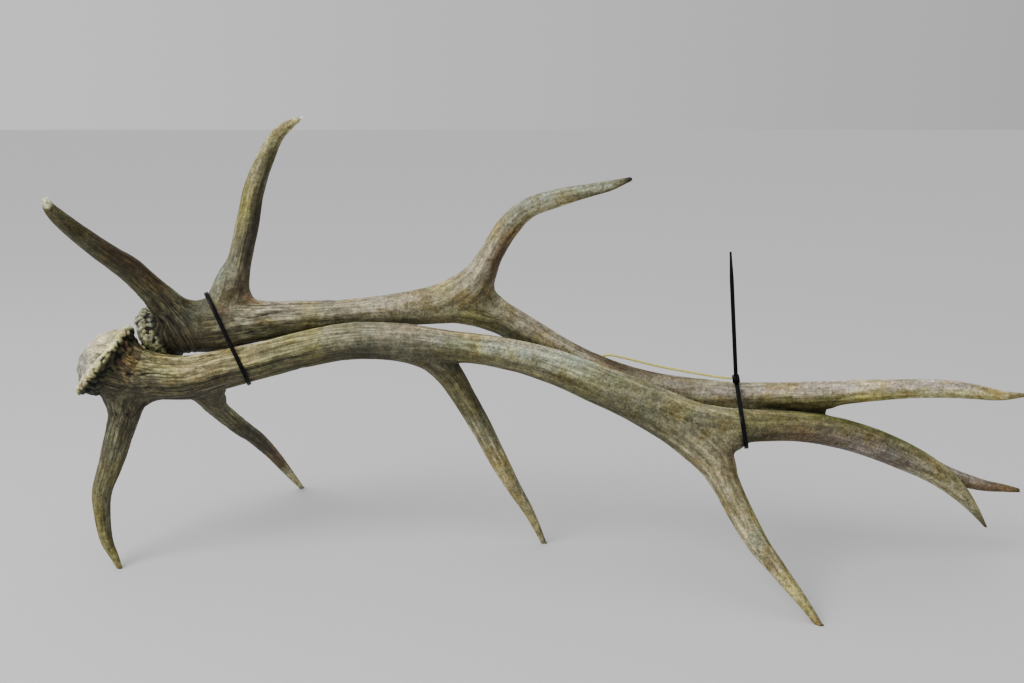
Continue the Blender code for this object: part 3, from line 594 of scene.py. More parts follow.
FAR_TINTS = {
    "beam": [
        (0.054, OLIVE, UMBER), (0.08, dim(KHAKI, 0.8), OLIVE),
        (0.12, GREY_TAN, OLIVE), (0.19, GREY_TAN, OLIVE), (0.27, dim(GREY_TAN, 1.2), dim(OLIVE, 1.5)),
        (0.333, dim(TAN, 1.1), dim(OLIVE, 1.7)), (0.414, dim(GREY_TAN, 0.85), OLIVE),
        (0.466, GREY_TAN, OLIVE), (0.51, BROWN, OLIVE), (0.56, dim(GREY_TAN, 0.7), OLIVE),
        # From 0.64 to 0.76 the lit side is moss and the other side near-black, a painted shadow of the near
        # beam.
        (0.64, MOSS, PITCH), (0.76, MOSS, PITCH), (0.87, dim(PINK_GREY, 0.6), OLIVE),
        (0.93, dim(PINK_GREY, 0.6), BROWN), (0.98, dim(BROWN, 1.3), BROWN), (1.0, BROWN, UMBER),
    ],
    "brow_tine": [
        (0.0, OLIVE, UMBER), (0.3, dim(BROWN, 0.7), dim(OLIVE, 0.85)),
        (0.6, dim(BROWN, 0.45), dim(OLIVE, 0.62)), (0.88, dim(YELLOW_OLIVE, 0.36), dim(OLIVE, 0.85)),
        (0.972, OLIVE, OLIVE), (0.988, WHITE_TIP, WHITE_TIP),
    ],
    "bez_tine": [
        (0.0, GREY_GREEN, UMBER), (0.2, dim(KHAKI, 0.85), BROWN), (0.35, dim(KHAKI, 0.8), UMBER),
        (0.55, dim(YELLOW_OLIVE, 0.9), UMBER), (0.8, dim(KHAKI, 1.35), dim(OLIVE, 1.3)),
        (0.93, dim(GREY_TAN, 1.1), KHAKI), (0.975, CREAM, CREAM), (1.0, WHITE_TIP, WHITE_TIP),
    ],
    "trez_tine": [
        (0.0, GREY_TAN, OLIVE), (0.24, dim(TAN, 1.05), dim(KHAKI, 1.1)), (0.4, dim(GREY_TAN, 1.1), BROWN),
        (0.54, GREY_TAN, BROWN), (0.65, GREY_GREEN, KHAKI), (0.75, dim(GREY_GREEN, 1.1), KHAKI),
        (0.9, dim(GREY_GREEN, 0.9), OLIVE), (0.955, dim(GREY_GREEN, 0.7), OLIVE),
        (0.985, UMBER, UMBER), (1.0, PITCH, PITCH),
    ],
    "royal_tine": [
        (0.0, dim(GREY_TAN, 0.8), OLIVE), (0.2, PINK_GREY, dim(YELLOW_OLIVE, 0.6)),
        (0.5, dim(PINK_GREY, 1.28), dim(YELLOW_OLIVE, 0.85)), (0.62, dim(PINK_GREY, 1.15), YELLOW_OLIVE),
        (0.85, PINK_GREY, KHAKI), (0.97, GREY_TAN, KHAKI), (1.0, BROWN, BROWN),
    ],
    # The webs in the fork are near-black, partly painted shade behind the near beam and partly moss.
    "fork_web": [(0.0, PITCH, PITCH), (1.0, UMBER, PITCH)],
    "royal_web": [(0.0, MOSS, PITCH), (1.0, MOSS, UMBER)],
    "whorl": [(0.0, OLIVE, UMBER)],
    "bez_web": [(0.0, BROWN, OLIVE)],
    "heel_web": [(0.0, dim(GREY_GREEN, 0.8), OLIVE), (1.0, GREY_GREEN, OLIVE)],
    "trez_web": [(0.0, GREY_TAN, OLIVE)],
}
# An antler's colours: its tints, the way that the lit side of a branch looks where it isn't up, the
# crests (the colour of a branch's very top, then stations of share and strength) and single spots
# (place, radius, colour and strength).
NEAR_PAINT = {
    "tints": NEAR_TINTS,
    "lit_ways": {
        "royal_tine": (-0.7, -0.3, 0.5), "trez_tine": (-0.7, -0.4, 0.5), "brow_tine": (-0.8, -0.5, 0.2),
    },
    "crests": {
        "beam": [
            # The first two crests, pale lines along the beam's top, are a painted highlight; the third is
            # moss.
            ((0.46, 0.35, 0.21), [(0.28, 0.0), (0.32, 0.5), (0.44, 0.5), (0.48, 0.0)]),
            ((0.38, 0.35, 0.19), [(0.5, 0.0), (0.55, 0.6), (0.68, 0.7), (0.72, 0.0)]),
            (MOSS, [(0.70, 0.0), (0.76, 0.9), (0.93, 1.0), (0.97, 0.0)]),
        ],
    },
    "spots": [
        ((-424.7, 10, 254.3), 6.5, REDDISH, 0.8), ((-434.1, 2, 240.3), 6.5, REDDISH, 0.8),
        ((-474, 8, 232), 19, STONE, 0.8), ((-481, 14, 226), 12, STONE, 0.6),
    ],
}
FAR_PAINT = {
    "tints": FAR_TINTS,
    "lit_ways": {
        "bez_tine": (-0.9, -0.2, 0.35), "brow_tine": (0.5, 0.0, 0.85), "trez_tine": (-0.8, -0.2, 0.5),
    },
    "crests": {
        "beam": [((0.075, 0.055, 0.028), [(0.44, 0.0), (0.48, 0.8), (0.56, 0.8), (0.6, 0.0)])],
        "royal_tine": [(dim(YELLOW_OLIVE, 0.8), [(0.1, 0.0), (0.15, 0.6), (0.4, 0.4), (0.5, 0.0)])],
    },
    "spots": [
        ((-324, 42, 288.5), 9, BROWN, 0.7), ((-316, 40, 280), 8, BROWN, 0.6),
        ((-292.7, 50, 304.1), 9, ORANGE_BROWN, 0.8), ((-299, 50, 314), 10, UMBER, 0.7),
    ],
}
BURR_SHADE = (0.030, 0.033, 0.016)
SEAL_PINK = (0.56, 0.50, 0.37)
SEAL_CREAM = (0.72, 0.67, 0.44)
PINK_FROM = (7.0, 20.0)  # how far forward of the burr's middle


def along(stations, shares):
    """Values at `shares`, from stations of a share followed by numbers or colours."""
    at = [station[0] for station in stations]
    columns = np.array([np.ravel(station[1:]) for station in stations])
    return np.stack([np.interp(shares, at, column) for column in columns.T], axis=1)


def flow_of(points, spheres):
    """For each point: length along the spine and place round it, the spine's radius and the distance."""
    nearest, distance, _ = nearest_sphere(points, spheres)
    side, up, run = carried_axes(spheres)
    away = points - spheres[nearest, :3]
    across = (away * side[nearest]).sum(1)
    over_it = (away * up[nearest]).sum(1)
    length = run[nearest] + (away * np.cross(side[nearest], up[nearest])).sum(1)
    reach = np.maximum(np.hypot(over_it, across), 1e-6)
    radius = spheres[nearest, 3]
    flow = np.column_stack([length, across / reach * radius, over_it / reach * radius])
    return flow, radius, distance, run[-1]


def over(colour, other, share):
    """A colour with a share of another one laid over it."""
    return np.asarray(colour) * (1 - share) + np.asarray(other) * share


def noise_over(points, name, seed):
    """One of NOISES at the points, from 0 to 1."""
    size, layers, more = NOISES[name]
    return layered(points / size, seed + more, layers)


def smoothed(values, mean, passes):
    for _ in range(passes):
        values = mean(values)
    return values


def grooves(name, order, flow, radius, share, sway, seed):
    """The height of one branch's flutes and furrows, and how deep its furrows may be."""
    length, around = flow[:, 0], flow[:, 1:]
    slim = np.clip(radius / FLUTED_RADIUS, 0.0, 1.0) ** 2
    angle = np.arctan2(around[:, 1], around[:, 0])
    height = FLUTE_DEPTH * slim * np.cos(FLUTES * angle + length / FLUTE_PITCH)
    depth = along(FURROWS.get(name, WEB_FURROWS), share)[:, 0]
    sunk = 0.0
    for rank, (long, wide, sway_way, start, part) in enumerate(FURROW_SETS):
        place = np.column_stack([length / long, around / wide + sway_way * sway])
        valley = 1.0 - np.abs(2.0 * lattice_noise(place, seed + NARROW_SEED * rank + order) - 1.0)
        sunk = sunk + part * between(start, 1.0, valley)
    return height - depth * sunk, depth


def branch_colour(name, share, out, ragged, paint):
    """One branch's colour by the way the skin faces: its lit side's and its other side's, which
    carry painted light and shade as well as the bone's own colour, and its crest's.
    """
    ends = along(paint["tints"][name], share)
    lit_way = unit(paint["lit_ways"].get(name, (0.0, 0.0, 1.0)))
    facing = between(*LIT_RANGE, out @ lit_way + ragged)[:, None]
    colour = over(ends[:, 3:], ends[:, :3], facing)
    for crest, stations in paint["crests"].get(name, []):
        topped = along(stations, share) * between(*CREST_RANGE, out[:, 2] + 0.6 * ragged)[:, None]
        colour = over(colour, crest, topped)
    return colour


def over_branches(points, out, antler, paint, ragged, seed):
    """Height, furrow depth and colour, blended where branches meet, the flow of the grain along the
    nearest branch, and how far a point belongs to that branch alone."""
    sway = SWAY * (noise_over(points, "sway", seed) - 0.5)[:, None]
    rows = []
    for order, (name, spheres) in enumerate({**antler["branches"], **antler["guides"]}.items()):
        flow, radius, distance, whole = flow_of(points, spheres)
        share = np.clip(flow[:, 0] / whole, 0.0, 1.0)
        height, depth = grooves(name, order, flow, radius, share, sway, seed)
        rows.append((distance, flow, height, depth, branch_colour(name, share, out, ragged, paint)))
    distances, flows, heights, depths, colours = map(np.array, zip(*rows))
    weights = np.exp((distances.min(0) - distances) / FORK_BLEND)
    weights /= weights.sum(0)
    flow = flows[weights.argmax(0), np.arange(len(points))]
    single = between(*SINGLE_RANGE, weights.max(0))
    colour = (weights[:, :, None] * colours).sum(0)
    return (weights * heights).sum(0), (weights * depths).sum(0), colour, flow, single


def burr_relief(points, height, burr, at, seed):
    """The height with pearls round the burr, knobs on its ring and pits in its seal."""
    low, high = PEARLED_REACH
    pearled = 1.0 - between(burr["radius"] + low, burr["radius"] + high, at["reach"])
    pearls = noise_over(points, "pearls", seed) - PEARL_LEVEL
    height = height + pearled * (1 - at["bead"]) * PEARL_HEIGHT * pearls
    height = height * (1 - at["bead"]) + at["ring"] * burr["relief"] * (at["knob"] - KNOB_LEVEL)
    return height + at["bead"] * at["seal"] * PIT_DEPTH * (noise_over(points, "pits", seed) - 0.5)


def burr_colour(points, colour, burr, at, ragged, seed):
    """The colour with the ring's beads, painted shade behind them and between their knobs, and the bare seal
    over it.
    """
    # Painted shade lies behind the beads and in the crevices between their knobs.
    raised = between(*burr["dark_until"], at["forward"] + 5.0 * ragged)[:, None]
    crevice = (at["ring"] * (1 - between(*CREVICE_RANGE, at["knob"])))[:, None]
    stains = 0.65 + 0.7 * noise_over(points, "stains", seed)[:, None]
    beads = over(BURR_SHADE, burr["beads"], raised) * (1 - 0.28 * burr["relief"] * crevice) * stains
    cloudy = noise_over(points, "clouds", seed) - 0.5
    pinkness = np.clip(between(*PINK_FROM, at["forward"]) + 1.2 * cloudy, 0.0, 1.0)[:, None]
    colour = over(colour, beads, at["bead"][:, None])
    return over(colour, over(SEAL_CREAM, SEAL_PINK, pinkness), at["seal"][:, None])


def spotted(points, colour, spots, ragged):
    for place, size, spot, strength in spots:
        off = np.linalg.norm(points - np.array(place) + FOOTPRINT_MIDDLE, axis=1) / size
        there = strength * (1 - between(*SPOT_EDGE, off + ragged))[:, None]
        colour = over(colour, spot, there)
    return colour


def carved(points, antler, paint, burr, seed, mean):
    """The points with all relief cut in, their colours, the flow of the grain and the material's masks."""
    middle = np.array(burr["middle"], float) - FOOTPRINT_MIDDLE
    forward = (points - middle) @ unit(burr["faces"])
    reach = np.linalg.norm(points - middle, axis=1)
    seal = between(0.0, SEAL_EDGE, forward - burr["smooth_from"]) * (reach < burr["radius"] * SEAL_SPAN)
    smooth = smoothed(points, mean, SEAL_PASSES)
    points = points + (smooth - points) * (SEAL_SMOOTHING * seal)[:, None]
    _, out = skin_distance(points, antler)
    out /= np.linalg.norm(out, axis=1)[:, None]
    ragged = RAGGEDNESS * (noise_over(points, "ragged", seed) - 0.5)
    height, furrow, colour, flow, single = over_branches(points, out, antler, paint, ragged, seed)

    bone = np.min([nearest_sphere(points, spheres)[1] for spheres in antler["branches"].values()], axis=0)
    bead = between(-BEAD_EDGE, BEAD_EDGE, bone - nearest_sphere(points, antler["beads"])[1])
    at = {"forward": forward, "reach": reach, "seal": seal, "bead": bead, "ring": bead * (1 - seal)}
    at["knob"] = knobs(points / burr["knob"], seed + KNOB_SEED)
    height = burr_relief(points, height, burr, at, seed)
    height += WAVE_HEIGHT * (noise_over(points, "waves", seed) - 0.5)
    colour = burr_colour(points, colour, burr, at, ragged, seed)
    colour = spotted(points, colour, paint["spots"], ragged)
    moved = points + out * height[:, None]
    moved[:, 2] = np.maximum(moved[:, 2], 0.0)
    fields = {"seal": seal, "single": single * (1 - bead), "burr": at["ring"]}
    fields["furrow"] = furrow / DEEPEST_FURROW
    return moved, colour, flow, fields


def neighbour_mean(mesh):
    """A function that gives each vertex the mean of its neighbours' values."""
    edges = np.empty(len(mesh.edges) * 2, np.int32)
    mesh.edges.foreach_get("vertices", edges)
    a, b = edges.reshape(-1, 2).T
    count = len(mesh.vertices)
    degree = np.bincount(a, minlength=count) + np.bincount(b, minlength=count)

    def mean(values):
        columns = []
        for column in values.reshape(count, -1).T:
            total = np.bincount(a, weights=column[b], minlength=count)
            columns.append(total + np.bincount(b, weights=column[a], minlength=count))
        return (np.stack(columns, axis=1) / np.maximum(degree, 1)[:, None]).reshape(values.shape)

    return mean


def hollows(mesh, mean, passes):
    """How far each vertex lies below its smoothed surroundings, in mm: crests are below 0."""
    points = points_of(mesh)
    normals = np.empty(len(points) * 3)
    mesh.vertices.foreach_get("normal", normals)
    smooth = smoothed(points, mean, passes)
    hollow = ((smooth - points) * normals.reshape(-1, 3)).sum(1)
    return (hollow + mean(hollow)) / 2


def store(mesh, name, values, kind="FLOAT", slot="value"):
    layer = mesh.attributes.new(name, kind, "POINT")
    layer.data.foreach_set(slot, np.ascontiguousarray(values, np.float32).ravel())


def make_antler(side, antler, burr, paint, seed, material):
    thing = rough_antler(f"{side}_antler", antler, burr, material)
    remeshed(thing, ROUGH_VOXEL)
    move_points(thing.data, settled(points_of(thing.data), antler, ROUGH_SETTLING))
    remeshed(thing, FINE_VOXEL)
    points = settled(points_of(thing.data), antler, FINE_SETTLING)
    mean = neighbour_mean(thing.data)
    points, colour, flow, fields = carved(points, antler, paint, burr, seed, mean)
    move_points(thing.data, points)
    thing.data.shade_smooth()
    for name, (passes, full) in HOLLOWS.items():
        fields[name] = np.clip(hollows(thing.data, mean, passes) / full, -1.0, 1.0)
    store(thing.data, "tint", np.column_stack([colour, np.ones(len(colour))]), "FLOAT_COLOR", "color")
    store(thing.data, "flow", flow, "FLOAT_VECTOR", "vector")
    for name, values in fields.items():
        store(thing.data, name, values)
    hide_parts(f"{side}_beam", *(f"{side}_{tine}" for tine in TINES))
    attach(thing, "root")


# --- materials ---


class Graph:
    """A material's nodes, added one by one."""

    def __init__(self, name):
        self.material = bpy.data.materials.new(name)
        self.material.use_nodes = True
        self.tree = self.material.node_tree
        self.shader = self.tree.nodes["Principled BSDF"]

    def add(self, kind, inputs=None, **settings):
        made = self.tree.nodes.new(kind)
        for key, value in settings.items():
            setattr(made, key, value)
        for key, value in (inputs or {}).items():
            self.put(made, key, value)
        return made

    def put(self, node, key, value):
        if isinstance(value, bpy.types.NodeSocket):
            self.tree.links.new(value, node.inputs[key])
        else:
            node.inputs[key].default_value = value

    def attribute(self, name, output="Fac"):
        return self.add("ShaderNodeAttribute", attribute_name=name).outputs[output]

    def math(self, operation, a, b=0.5, clamp=False):
        made = self.add("ShaderNodeMath", {0: a, 1: b}, operation=operation, use_clamp=clamp)
        return made.outputs[0]

    def ramp(self, value, low, high, start=0.0, end=1.0):
        spans = {"From Min": low, "From Max": high, "To Min": start, "To Max": end}
        made = self.add("ShaderNodeMapRange", {"Value": value, **spans}, interpolation_type="SMOOTHSTEP")
        return made.outputs["Result"]

    def noise(self, places, scale, detail, roughness, stretch=None):
        if stretch:
            places = self.add("ShaderNodeMapping", {"Vector": places, "Scale": stretch}).outputs[0]
        inputs = {"Vector": places, "Scale": scale, "Detail": detail, "Roughness": roughness}
        return self.add("ShaderNodeTexNoise", inputs).outputs["Fac"]

    def mix(self, fac, a, b):
        made = self.add("ShaderNodeMix", data_type="RGBA")
        for key, value in ((0, fac), (6, a), (7, b)):
            self.put(made, key, value)
        return made.outputs[2]

    def bump(self, height, strength, distance):
        inputs = {"Strength": strength, "Distance": distance, "Height": height}
        self.put(self.shader, "Normal", self.add("ShaderNodeBump", inputs).outputs[0])


def rgb(colour):
    return (*colour, 1.0)


def antler_material(name):
    g = Graph(name)
    here = g.add("ShaderNodeTexCoord").outputs["Object"]
    flow = g.attribute("flow", "Vector")
    names = ("hollow", "deep", "seal", "single", "furrow", "burr")
    hollow, deep, seal, single, furrow, burr = (g.attribute(name) for name in names)

    streaks = g.noise(flow, 1.0, 3.0, 0.6, stretch=(0.014, 0.22, 0.22))
    hairs = g.noise(flow, 1.0, 2.0, 0.55, stretch=(0.018, 0.46, 0.46))
    grains = g.noise(flow, 1.0, 2.0, 0.5, stretch=(0.09, 0.42, 0.42))
    smear = g.noise(flow, 1.0, 4.0, 0.62, stretch=(0.026, 0.085, 0.085))
    mottle = g.noise(here, 150.0, 4.0, 0.65)
    pepper = g.noise(here, 360.0, 3.0, 0.6)
    blotch = g.noise(here, 48.0, 4.0, 0.6)
    patch = g.noise(here, 15.0, 3.0, 0.5)
    speck = g.noise(here, 560.0, 2.0, 0.5)
    crumb = g.noise(here, 300.0, 3.0, 0.6)

    def scaled(colour, grey):
        return g.add("ShaderNodeVectorMath", {0: colour, "Scale": grey}, operation="SCALE").outputs[0]

    def shifted(colour, amount, factors):
        """The colour, moved by `amount` towards itself times three factors."""
        other = g.add("ShaderNodeVectorMath", {0: colour, 1: factors}, operation="MULTIPLY").outputs[0]
        return g.mix(amount, colour, other)

    def swing(field, span, size, mask):
        """A grey round 1 that follows a noise, `size` up and down, where the mask is."""
        swung = g.math("MULTIPLY", g.ramp(field, 0.5 - span, 0.5 + span, -size, size), mask)
        return g.math("ADD", swung, 1.0)

    # Light and dark along the grain, deepest where the furrows are, and a mottle between them.
    rough = g.math("MULTIPLY", furrow, single, clamp=True)
    even = g.math("SUBTRACT", 1.0, rough)
    colour = g.attribute("tint", "Color")
    for field, span, size, mask in (
        (streaks, 0.16, 0.13, single), (streaks, 0.16, 0.12, rough), (hairs, 0.16, 0.11, single),
        (hairs, 0.10, 0.36, rough), (grains, 0.10, 0.24, rough), (mottle, 0.17, 0.30, 1.0),
        (pepper, 0.14, 0.30, even),
    ):
        colour = scaled(colour, swing(field, span, size, mask))

    # Blotches, patches and smears of another hue.
    for field, start, full, amount, factors in (
        (blotch, 0.5, 0.66, 0.8, (0.94, 1.05, 1.10)), (blotch, 0.46, 0.34, 0.9, (0.98, 0.90, 0.68)),
        (patch, 0.52, 0.66, 0.8, (1.07, 1.05, 0.76)), (patch, 0.46, 0.34, 0.8, (0.82, 0.86, 0.90)),
    ):
        colour = shifted(colour, g.ramp(field, start, full, 0.0, amount), factors)
    smeared = g.math("MULTIPLY", g.ramp(smear, 0.49, 0.38, 0.0, 0.9), even)
    colour = shifted(colour, smeared, (0.56, 0.51, 0.34))
    paled = g.math("MULTIPLY", g.ramp(smear, 0.53, 0.64, 0.0, 0.8), even)
    colour = shifted(colour, paled, (1.30, 1.28, 1.18))

    # Dark lines in the furrows, then specks of both kinds.
    line = g.math("ABSOLUTE", g.math("SUBTRACT", hairs, 0.5))
    lines = g.math("MULTIPLY", g.ramp(line, 0.035, 0.0), rough, clamp=True)
    colour = shifted(colour, lines, (0.34, 0.33, 0.28))
    colour = shifted(colour, g.ramp(speck, 0.57, 0.66, 0.0, 0.7), (0.35, 0.34, 0.33))
    colour = shifted(colour, g.ramp(speck, 0.42, 0.34, 0.0, 0.5), (1.5, 1.5, 1.5))

    # Hollows, small and wide, are darkened with painted shade and crests are paler, less so on the seal and
    # the burr's ring.
    calm = g.math("SUBTRACT", 1.0, g.math("MULTIPLY", seal, 0.8))
    hollowed = g.math("MULTIPLY", g.ramp(hollow, 0.05, 0.9), calm)
    colour = shifted(colour, hollowed, (0.12, 0.11, 0.10))
    calmer = g.math("MULTIPLY", calm, g.math("SUBTRACT", 1.0, g.math("MULTIPLY", burr, 0.75)))
    colour = shifted(colour, g.math("MULTIPLY", g.ramp(deep, 0.15, 0.9), calmer), (0.16, 0.15, 0.13))
    colour = shifted(colour, g.ramp(hollow, -0.15, -0.8), (1.35, 1.33, 1.28))
    g.put(g.shader, "Base Color", colour)
    g.put(g.shader, "Roughness", g.ramp(crumb, 0.3, 0.7, 0.6, 0.85))
    g.shader.inputs["Specular IOR Level"].default_value = 0.3

    along_grain = g.math("MULTIPLY", hairs, g.math("MULTIPLY", single, 0.8))
    relief = g.math("ADD", along_grain, g.math("MULTIPLY", crumb, 0.5))
    g.bump(relief, 0.8, 0.0007)
    return g.material


def nylon_material():
    g = Graph("black_nylon")
    here = g.add("ShaderNodeTexCoord").outputs["Object"]
    scuff = g.noise(here, 260.0, 3.0, 0.6)
    scuffed = g.ramp(scuff, 0.45, 0.7)
    colour = g.mix(scuffed, rgb((0.001, 0.001, 0.0012)), rgb((0.004, 0.0042, 0.0048)))
    g.put(g.shader, "Base Color", colour)
    g.put(g.shader, "Roughness", g.ramp(scuff, 0.3, 0.7, 0.28, 0.42))
    g.shader.inputs["Specular IOR Level"].default_value = 0.12
    g.bump(scuff, 0.25, 0.0002)
    return g.material


def string_material():
    g = Graph("yellow_string")
    here = g.add("ShaderNodeTexCoord").outputs["Object"]
    fibre = g.noise(here, 900.0, 3.0, 0.6)
    stain = g.noise(here, 60.0, 2.0, 0.5)
    colour = g.mix(g.ramp(fibre, 0.35, 0.65), rgb((0.52, 0.47, 0.08)), rgb((0.80, 0.74, 0.20)))
    colour = g.mix(g.ramp(stain, 0.5, 0.7, 0.0, 0.4), colour, rgb((0.62, 0.56, 0.22)))
    g.put(g.shader, "Base Color", colour)
    g.shader.inputs["Roughness"].default_value = 0.8
    g.bump(fibre, 0.6, 0.0003)
    return g.material


# --- the string, a free cord ---


def make_string():
    route = smooth_curve(np.array(STRING_ROUTE, float) - FOOTPRINT_MIDDLE, STRING_STEP) * MM
    curve = bpy.data.curves.new("yellow_string_cord", "CURVE")
    curve.dimensions = "3D"
    curve.bevel_depth = STRING_DIAMETER / 2 * MM
    curve.bevel_resolution = 3
    curve.use_fill_caps = True
    spline = curve.splines.new("POLY")
    spline.points.add(len(route) - 1)
    for point, place in zip(spline.points, route):
        point.co = (*place, 1.0)
    curve.materials.append(string_material())
    made = placed("yellow_string_cord", curve)
    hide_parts("yellow_string")
    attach(made, "root")


make_string()


# --- antlers ---

near = antler_of(NEAR_SPINES, NEAR_BURR, seed=7, guides={})
far = antler_of(FAR_SPINES, FAR_BURR, seed=11, guides=FAR_GUIDES)
for _ in range(HOLDING_ROUNDS):
    held_off(near["beads"], far)
    held_off(far["beads"], near)
bone = antler_material("weathered_antler")
make_antler("near", near, NEAR_BURR, NEAR_PAINT, seed=100, material=bone)
make_antler("far", far, FAR_BURR, FAR_PAINT, seed=200, material=bone)


# --- cable ties ---

EDGE_ROUNDING = 0.45
CORNER = 0.3  # of the rounding, at the bevel's middle points
CHANNEL = (0.55, 0.5)  # where the inner channel's walls start and end, as shares of half the width
FOOT_DEPTH = 0.25  # how far the head's foot sinks into the strap, as a share of its thickness
# The head's outline, and its profile: share of its height, of its size.
HEAD_OUTLINE = [
    (-1, -0.75), (-0.9, -0.92), (-0.7, -1), (0.7, -1), (0.9, -0.92), (1, -0.75),
    (1, 0.75), (0.9, 0.92), (0.7, 1), (-0.7, 1), (-0.9, 0.92), (-1, 0.75),
]
HEAD_PROFILE = [
    (0.0, 0.84), (0.08, 0.92), (0.16, 0.98), (0.3, 1.0), (0.7, 1.0), (0.85, 0.97), (0.95, 0.9),
    (1.0, 0.8),
]
SHARP_FROM = math.radians(40)


def hull_of(flat):
    """The convex hull of points in a plane, anticlockwise."""
    ordered = sorted(map(tuple, flat))

    def half(points):
        chain = []
        for p in points:
            while len(chain) > 1:
                (ax, ay), (bx, by) = chain[-2], chain[-1]
                if (bx - ax) * (p[1] - ay) - (by - ay) * (p[0] - ax) > 0:
                    break
                chain.pop()
            chain.append(p)
        return chain[:-1]

    return np.array(half(ordered) + half(ordered[::-1]))


def strap_loop(tie, antlers):
    """Points and outward ways of the taut loop round both antlers, the first one at the head."""
    middle = np.array(tie["middle"], float) - FOOTPRINT_MIDDLE
    along_way = unit(tie["along"])
    side = unit(np.cross((0.0, 0.0, 1.0), along_way))
    up = np.cross(along_way, side)
    turns = np.arange(STRAP_RAYS) / STRAP_RAYS * math.tau
    flat = np.stack([np.cos(turns), np.sin(turns)], axis=1)
    rays = flat[:, :1] * side + flat[:, 1:] * up
    edges = np.outer((-0.5, 0.0, 0.5), along_way * STRAP_WIDTH)
    reach = np.full(STRAP_RAYS, float(tie["reach"]))
    for _ in range(RAY_STEPS):
        points = ((middle + rays * reach[:, None])[:, None, :] + edges).reshape(-1, 3)
        gaps = [skin_distance(points, antler)[0].reshape(-1, 3).min(1) for antler in antlers]
        reach = np.maximum(reach - np.maximum(np.min(gaps, axis=0), 0.0), 0.0)
    hull = hull_of(flat * reach[:, None])
    closed = np.vstack([hull, hull[:1]])
    run = np.concatenate([[0.0], np.cumsum(np.linalg.norm(np.diff(closed, axis=0), axis=1))])
    even = np.linspace(0, run[-1], LOOP_SAMPLES, endpoint=False)
    loop = np.stack([np.interp(even, run, closed[:, axis]) for axis in (0, 1)], axis=1)
    for _ in range(STRAP_SMOOTHING):
        loop = (np.roll(loop, 1, 0) + 2 * loop + np.roll(loop, -1, 0)) / 4
    ways = np.roll(loop, -1, 0) - np.roll(loop, 1, 0)
    ways = np.stack([ways[:, 1], -ways[:, 0]], axis=1) / np.linalg.norm(ways, axis=1)[:, None]
    loop += ways * (STRAP_CLEARANCE + STRAP_THICKNESS / 2)
    bearing = np.degrees(np.arctan2(loop[:, 1], loop[:, 0])) % 360
    first = np.abs((bearing - tie["head_at"] + 180) % 360 - 180).argmin()
    steps = np.round(np.arange(STRAP_POINTS) * LOOP_SAMPLES / STRAP_POINTS).astype(int)
    order = (first + steps) % LOOP_SAMPLES
    centres = middle + loop[order, :1] * side + loop[order, 1:] * up
    outs = ways[order, :1] * side + ways[order, 1:] * up
    return centres, outs, along_way


def rounded_section(middle, across, through, width, thickness, inset):
    """A flat strap's outline with rounded edges, and a channel `inset` deep down its inner face."""
    w, t = width / 2, thickness / 2
    r = min(EDGE_ROUNDING, t)
    c = r * CORNER
    wall, floor = w * CHANNEL[0], w * CHANNEL[1]
    outline = [
        (-w + r, t), (w - r, t), (w - c, t - c), (w, t - r), (w, -t + r), (w - c, -t + c), (w - r, -t),
        (wall, -t), (floor, -t + inset), (-floor, -t + inset), (-wall, -t),
        (-w + r, -t), (-w + c, -t + c), (-w, -t + r), (-w, t - r), (-w + c, t - c),
    ]
    return [middle + across * a + through * b for a, b in outline]


def tie_head(foot, along_way, run, out):
    rings = []
    for height, share in HEAD_PROFILE:
        middle = foot + out * HEAD_SIZE[2] * height
        wide, long = along_way * HEAD_SIZE[0] / 2 * share, run * HEAD_SIZE[1] / 2 * share
        rings.append([middle + wide * a + long * b for a, b in HEAD_OUTLINE])
    return skinned(rings)


def tie_tail(start, way, along_way, length):
    """A toothed tail that narrows over its last stretch, if it is long enough to have one."""
    through = unit(np.cross(way, along_way))
    across = np.cross(through, way)
    count = max(6, int(length / TOOTH_STEP))
    rings = []
    for k in range(count + 1):
        at = length * k / count
        taper = float(between(length - TAIL_TAPER, length, np.array(at))) if length > TAIL_TAPER else 0.0
        width = TAIL_WIDTH - (TAIL_WIDTH - TAIL_END_WIDTH) * taper
        inset = TOOTH_DEPTHS[k % 2]
        rings.append(rounded_section(start + way * at, across, through, width, TAIL_THICKNESS, inset))
    return skinned(rings)


def make_tie(name, tie, tail_length, tail_way, material):
    """A strap closed round the bundle, its head on the outside and its tail standing out of the head."""
    centres, outs, along_way = strap_loop(tie, (near, far))
    rings = [
        rounded_section(c, along_way, o, STRAP_WIDTH, STRAP_THICKNESS, 0.0) for c, o in zip(centres, outs)
    ]
    out = outs[0]
    foot = centres[0] - out * STRAP_THICKNESS * FOOT_DEPTH
    start = foot + out * HEAD_SIZE[2] / 2
    parts = [
        skinned(rings, closed=True),
        tie_head(foot, along_way, np.cross(along_way, out), out),
        tie_tail(start, unit(tail_way), along_way, tail_length),
    ]
    made = object_of(f"{name}_nylon", *joined(parts), material)
    made.data.shade_smooth()
    made.data.set_sharp_from_angle(angle=SHARP_FROM)
    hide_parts(name)
    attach(made, "root")


nylon = nylon_material()
make_tie("burr_end_tie", BURR_END_TIE, SHORT_TAIL, (0, -0.3, -1), nylon)
make_tie("fork_end_tie", FORK_END_TIE, LONG_TAIL, (-0.08, 0, 1), nylon)


# --- floor and light ---

FLOOR_REACH = 14000.0
FLOOR_DROP = 0.2  # clear of the tips' flats
FLOOR_COLOUR = (0.72, 0.71, 0.72)
SKY_COLOUR = (0.98, 0.98, 1.0)
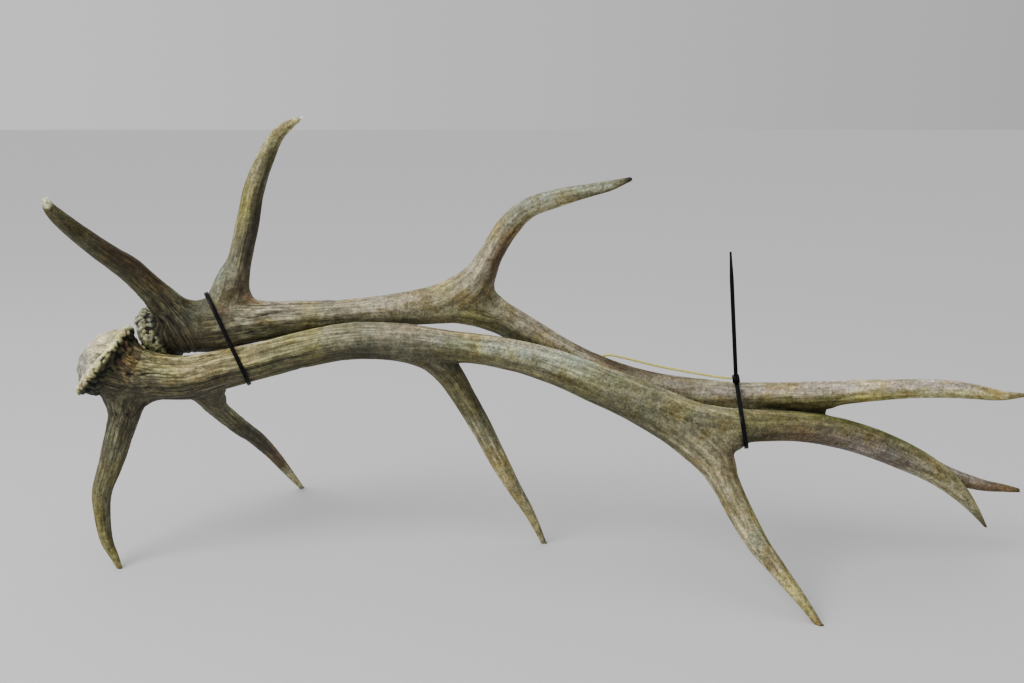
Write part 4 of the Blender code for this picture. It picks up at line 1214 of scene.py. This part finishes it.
# The sky's strength by the way it is seen: from where to where on that axis, and from what to what.
SKY_UPWARDS = (0.15, 1.0, 0.72, 1.05)
SKY_SIDEWAYS = (-0.6, 0.6, 1.22, 0.62)
LAMP_PLACE = (-1.7, -1.3, 2.2)
LAMP_TARGET = (0, 0, 0.2)


def make_floor():
    g = Graph("pale_floor")
    g.shader.inputs["Base Color"].default_value = rgb(FLOOR_COLOUR)
    g.shader.inputs["Roughness"].default_value = 0.9
    corners = ((-1, -1), (1, -1), (1, 1), (-1, 1))
    places = [(FLOOR_REACH * x, FLOOR_REACH * y, -FLOOR_DROP) for x, y in corners]
    floor = object_of("floor", places, [(0, 1, 2, 3)], g.material)


def make_sky():
    """A soft pale sky, stronger overhead and on the left."""
    world = bpy.data.worlds.new("soft_room")
    world.use_nodes = True
    tree = world.node_tree
    way = tree.nodes.new("ShaderNodeSeparateXYZ")
    tree.links.new(tree.nodes.new("ShaderNodeTexCoord").outputs["Generated"], way.inputs[0])

    def strength(axis, spans):
        made = tree.nodes.new("ShaderNodeMapRange")
        for key, value in zip(("From Min", "From Max", "To Min", "To Max"), spans):
            made.inputs[key].default_value = value
        tree.links.new(way.outputs[axis], made.inputs["Value"])
        return made.outputs["Result"]

    both = tree.nodes.new("ShaderNodeMath")
    both.operation = "MULTIPLY"
    tree.links.new(strength("Z", SKY_UPWARDS), both.inputs[0])
    tree.links.new(strength("X", SKY_SIDEWAYS), both.inputs[1])
    background = tree.nodes["Background"]
    tree.links.new(both.outputs[0], background.inputs["Strength"])
    background.inputs["Color"].default_value = rgb(SKY_COLOUR)
    bpy.context.scene.world = world


def make_light():
    """One large soft lamp, high on the front left."""
    data = bpy.data.lights.new("key", "AREA")
    data.shape = "DISK"
    data.size = 1.6
    data.energy = 46.0
    data.color = (1.0, 0.98, 0.95)
    lamp = placed("key", data)
    lamp.location = LAMP_PLACE
    way = Vector(LAMP_TARGET) - Vector(LAMP_PLACE)
    lamp.rotation_euler = way.to_track_quat("-Z", "Y").to_euler()


make_floor()
make_sky()
make_light()
